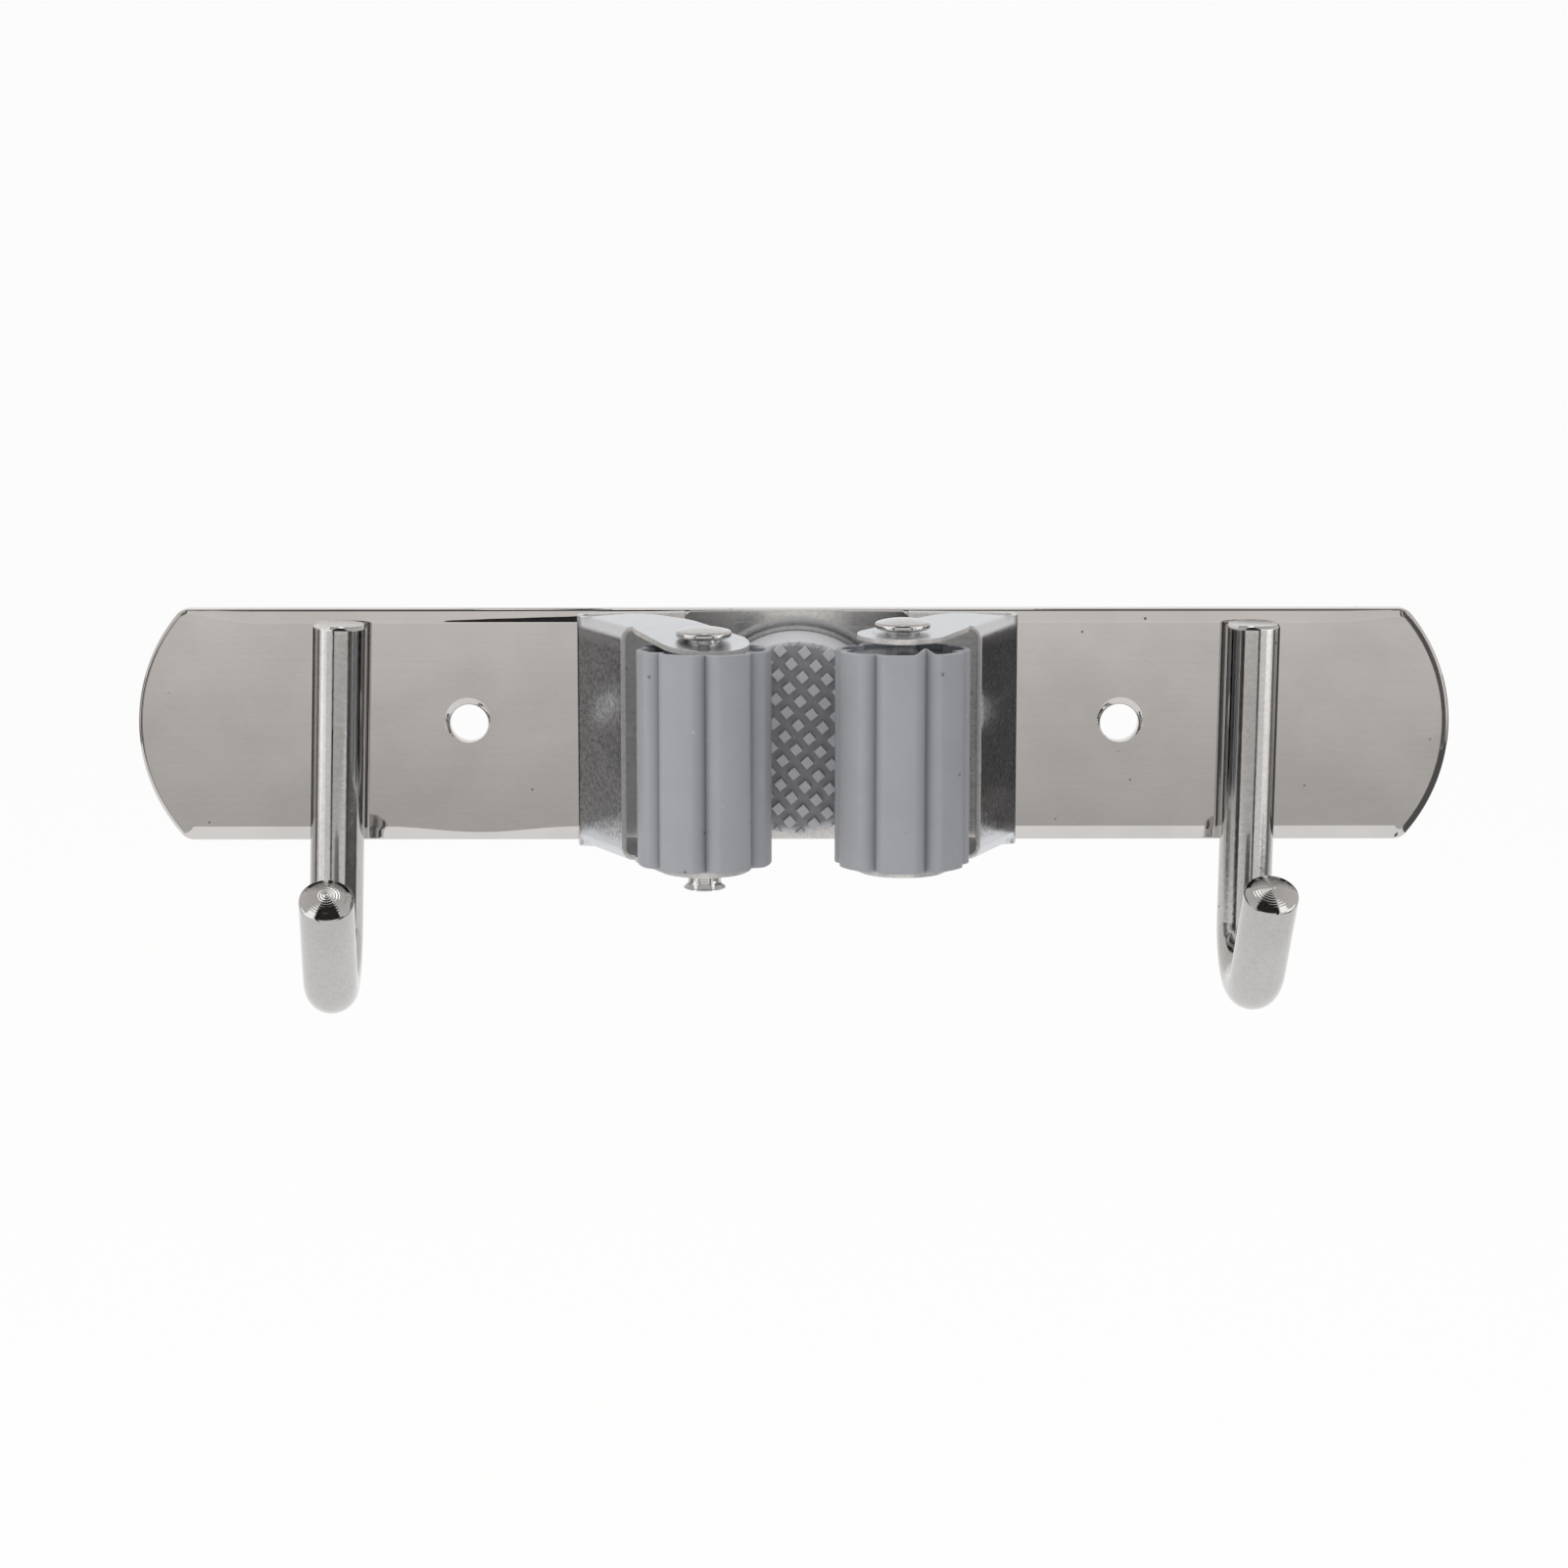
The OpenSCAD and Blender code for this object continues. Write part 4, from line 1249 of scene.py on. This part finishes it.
def mirror_card(name, corners, grey):
    """A card that only mirrors show."""
    plane = stage_plane(name, corners, matt(name, grey))
    plane.visible_camera = False
    plane.visible_diffuse = False
    plane.visible_shadow = False


def rectangle(low, high):
    """Corners of a rectangle square to one axis, from two opposite corners."""
    first, second = [axis for axis in range(3) if low[axis] != high[axis]]
    corners = [list(low), list(low), list(high), list(low)]
    corners[1][first] = high[first]
    corners[3][second] = high[second]
    return corners


def aimed(name, data, where, way):
    """Adds a lamp or camera that looks along a way."""
    made = link(name, data)
    made.location = where
    made.rotation_mode = "QUATERNION"
    made.rotation_quaternion = way.to_track_quat("-Z", "Y")
    return made


def soft_box(name, where, at, size, radiance):
    """A rectangular lamp of even brightness; 1 is white."""
    lamp = bpy.data.lights.new(name, "AREA")
    lamp.shape = "RECTANGLE"
    lamp.size, lamp.size_y = size
    lamp.energy = radiance * pi * size[0] * size[1]
    made = aimed(name, lamp, where, Vector(at) - Vector(where))
    made.visible_camera = False
    return made


def light_only(lamp, pieces):
    """Lets a lamp reach the given pieces and nothing else."""
    lit = bpy.data.collections.new(lamp.name + "_lit")
    for piece in pieces:
        lit.objects.link(piece)
    lamp.light_linking.receiver_collection = lit


def make_sky():
    """Pale surroundings, darker below the horizon; plain white to the camera."""
    world = bpy.data.worlds.new("studio")
    bpy.context.scene.world = world
    world.use_nodes = True
    sky = Nodes(world.node_tree)
    way = sky.node("TexCoord").outputs["Generated"]
    up = sky.node("SeparateXYZ", {"Vector": way}).outputs["Z"]
    height = sky.node("MapRange", {"Value": up, "From Min": -1, "From Max": 1}).outputs["Result"]
    shade = sky.node("ValToRGB", {"Fac": height})
    stops = shade.color_ramp.elements
    while len(stops) < len(SKY_STEPS):
        stops.new(1.0)
    for stop, (z, level) in zip(stops, SKY_STEPS):
        stop.position = (z + 1) / 2
        stop.color = (*(level * c for c in SKY_TONE), 1)
    seen = sky.node("LightPath").outputs["Is Camera Ray"]
    color = sky.mix(seen, shade.outputs["Color"], (1, 1, 1))
    sky.give(sky.tree.nodes["Background"], {"Color": color})


def make_side(side, rod):
    """Soft boxes and cards of one side: -1 is left and 1 is right."""
    def aside(spot):
        return (spot[0] * side, *spot[1:])

    lit = [rod, *pins, *rubbers] if side < 0 else [rod, *pins]
    for name, box in SIDE_BOXES.items():
        light_only(soft_box(name, aside(box["where"]), aside(box["at"]), box["size"], SIDE_LIGHT), lit)
    for name, card in SIDE_CARDS.items():
        mirror_card(name, rectangle(aside(card["low"]), aside(card["high"])), card["grey"])


def make_stage():
    """Paper sweep, sky, soft boxes, cards and lamps."""
    sheet = paper()
    w, far = FLOOR_HALF_W, BACKDROP_Y
    stage_plane("floor", rectangle((-w, FLOOR_FRONT, FLOOR_Z), (w, far, FLOOR_Z)), sheet)
    stage_plane("backdrop", rectangle((-w, far, FLOOR_Z), (w, far, BACKDROP_TOP)), sheet)
    make_sky()
    for side, rod in zip((-1, 1), rods):
        make_side(side, rod)
    for name, card in CARDS.items():
        mirror_card(name, rectangle(card["low"], card["high"]), card["grey"])
    mirror_card("high_dark", HIGH_DARK, HIGH_GREY)
    soft_box("top_lamp", **TOP_LAMP)
    for name, sizes in FILLS.items():
        soft_box(name, **sizes).visible_glossy = False


# Camera, at the photograph's place
CAMERA_DISTANCE = 0.82
CAMERA_ELEVATION = 10.4
CAMERA_AZIMUTH = -0.29
CAMERA_NEAR = 0.01
CAMERA_FAR = 50
CAMERA_TARGET = Vector((-0.00197, -0.003, -0.011689))
PHOTO_FOCAL_PX = 4380.18
PHOTO_PX = 1601
SENSOR_MM = 36


def make_camera():
    data = bpy.data.cameras.new("camera")
    data.sensor_width = SENSOR_MM
    data.lens = PHOTO_FOCAL_PX / PHOTO_PX * SENSOR_MM
    data.clip_start = CAMERA_NEAR
    data.clip_end = CAMERA_FAR
    up = radians(CAMERA_ELEVATION)
    aside = radians(CAMERA_AZIMUTH)
    back = Vector((sin(aside) * cos(up), -cos(aside) * cos(up), sin(up)))
    bpy.context.scene.camera = aimed("camera", data, CAMERA_TARGET + back * CAMERA_DISTANCE, -back)


make_stage()
make_camera()
bpy.context.scene.view_settings.view_transform = "Standard"
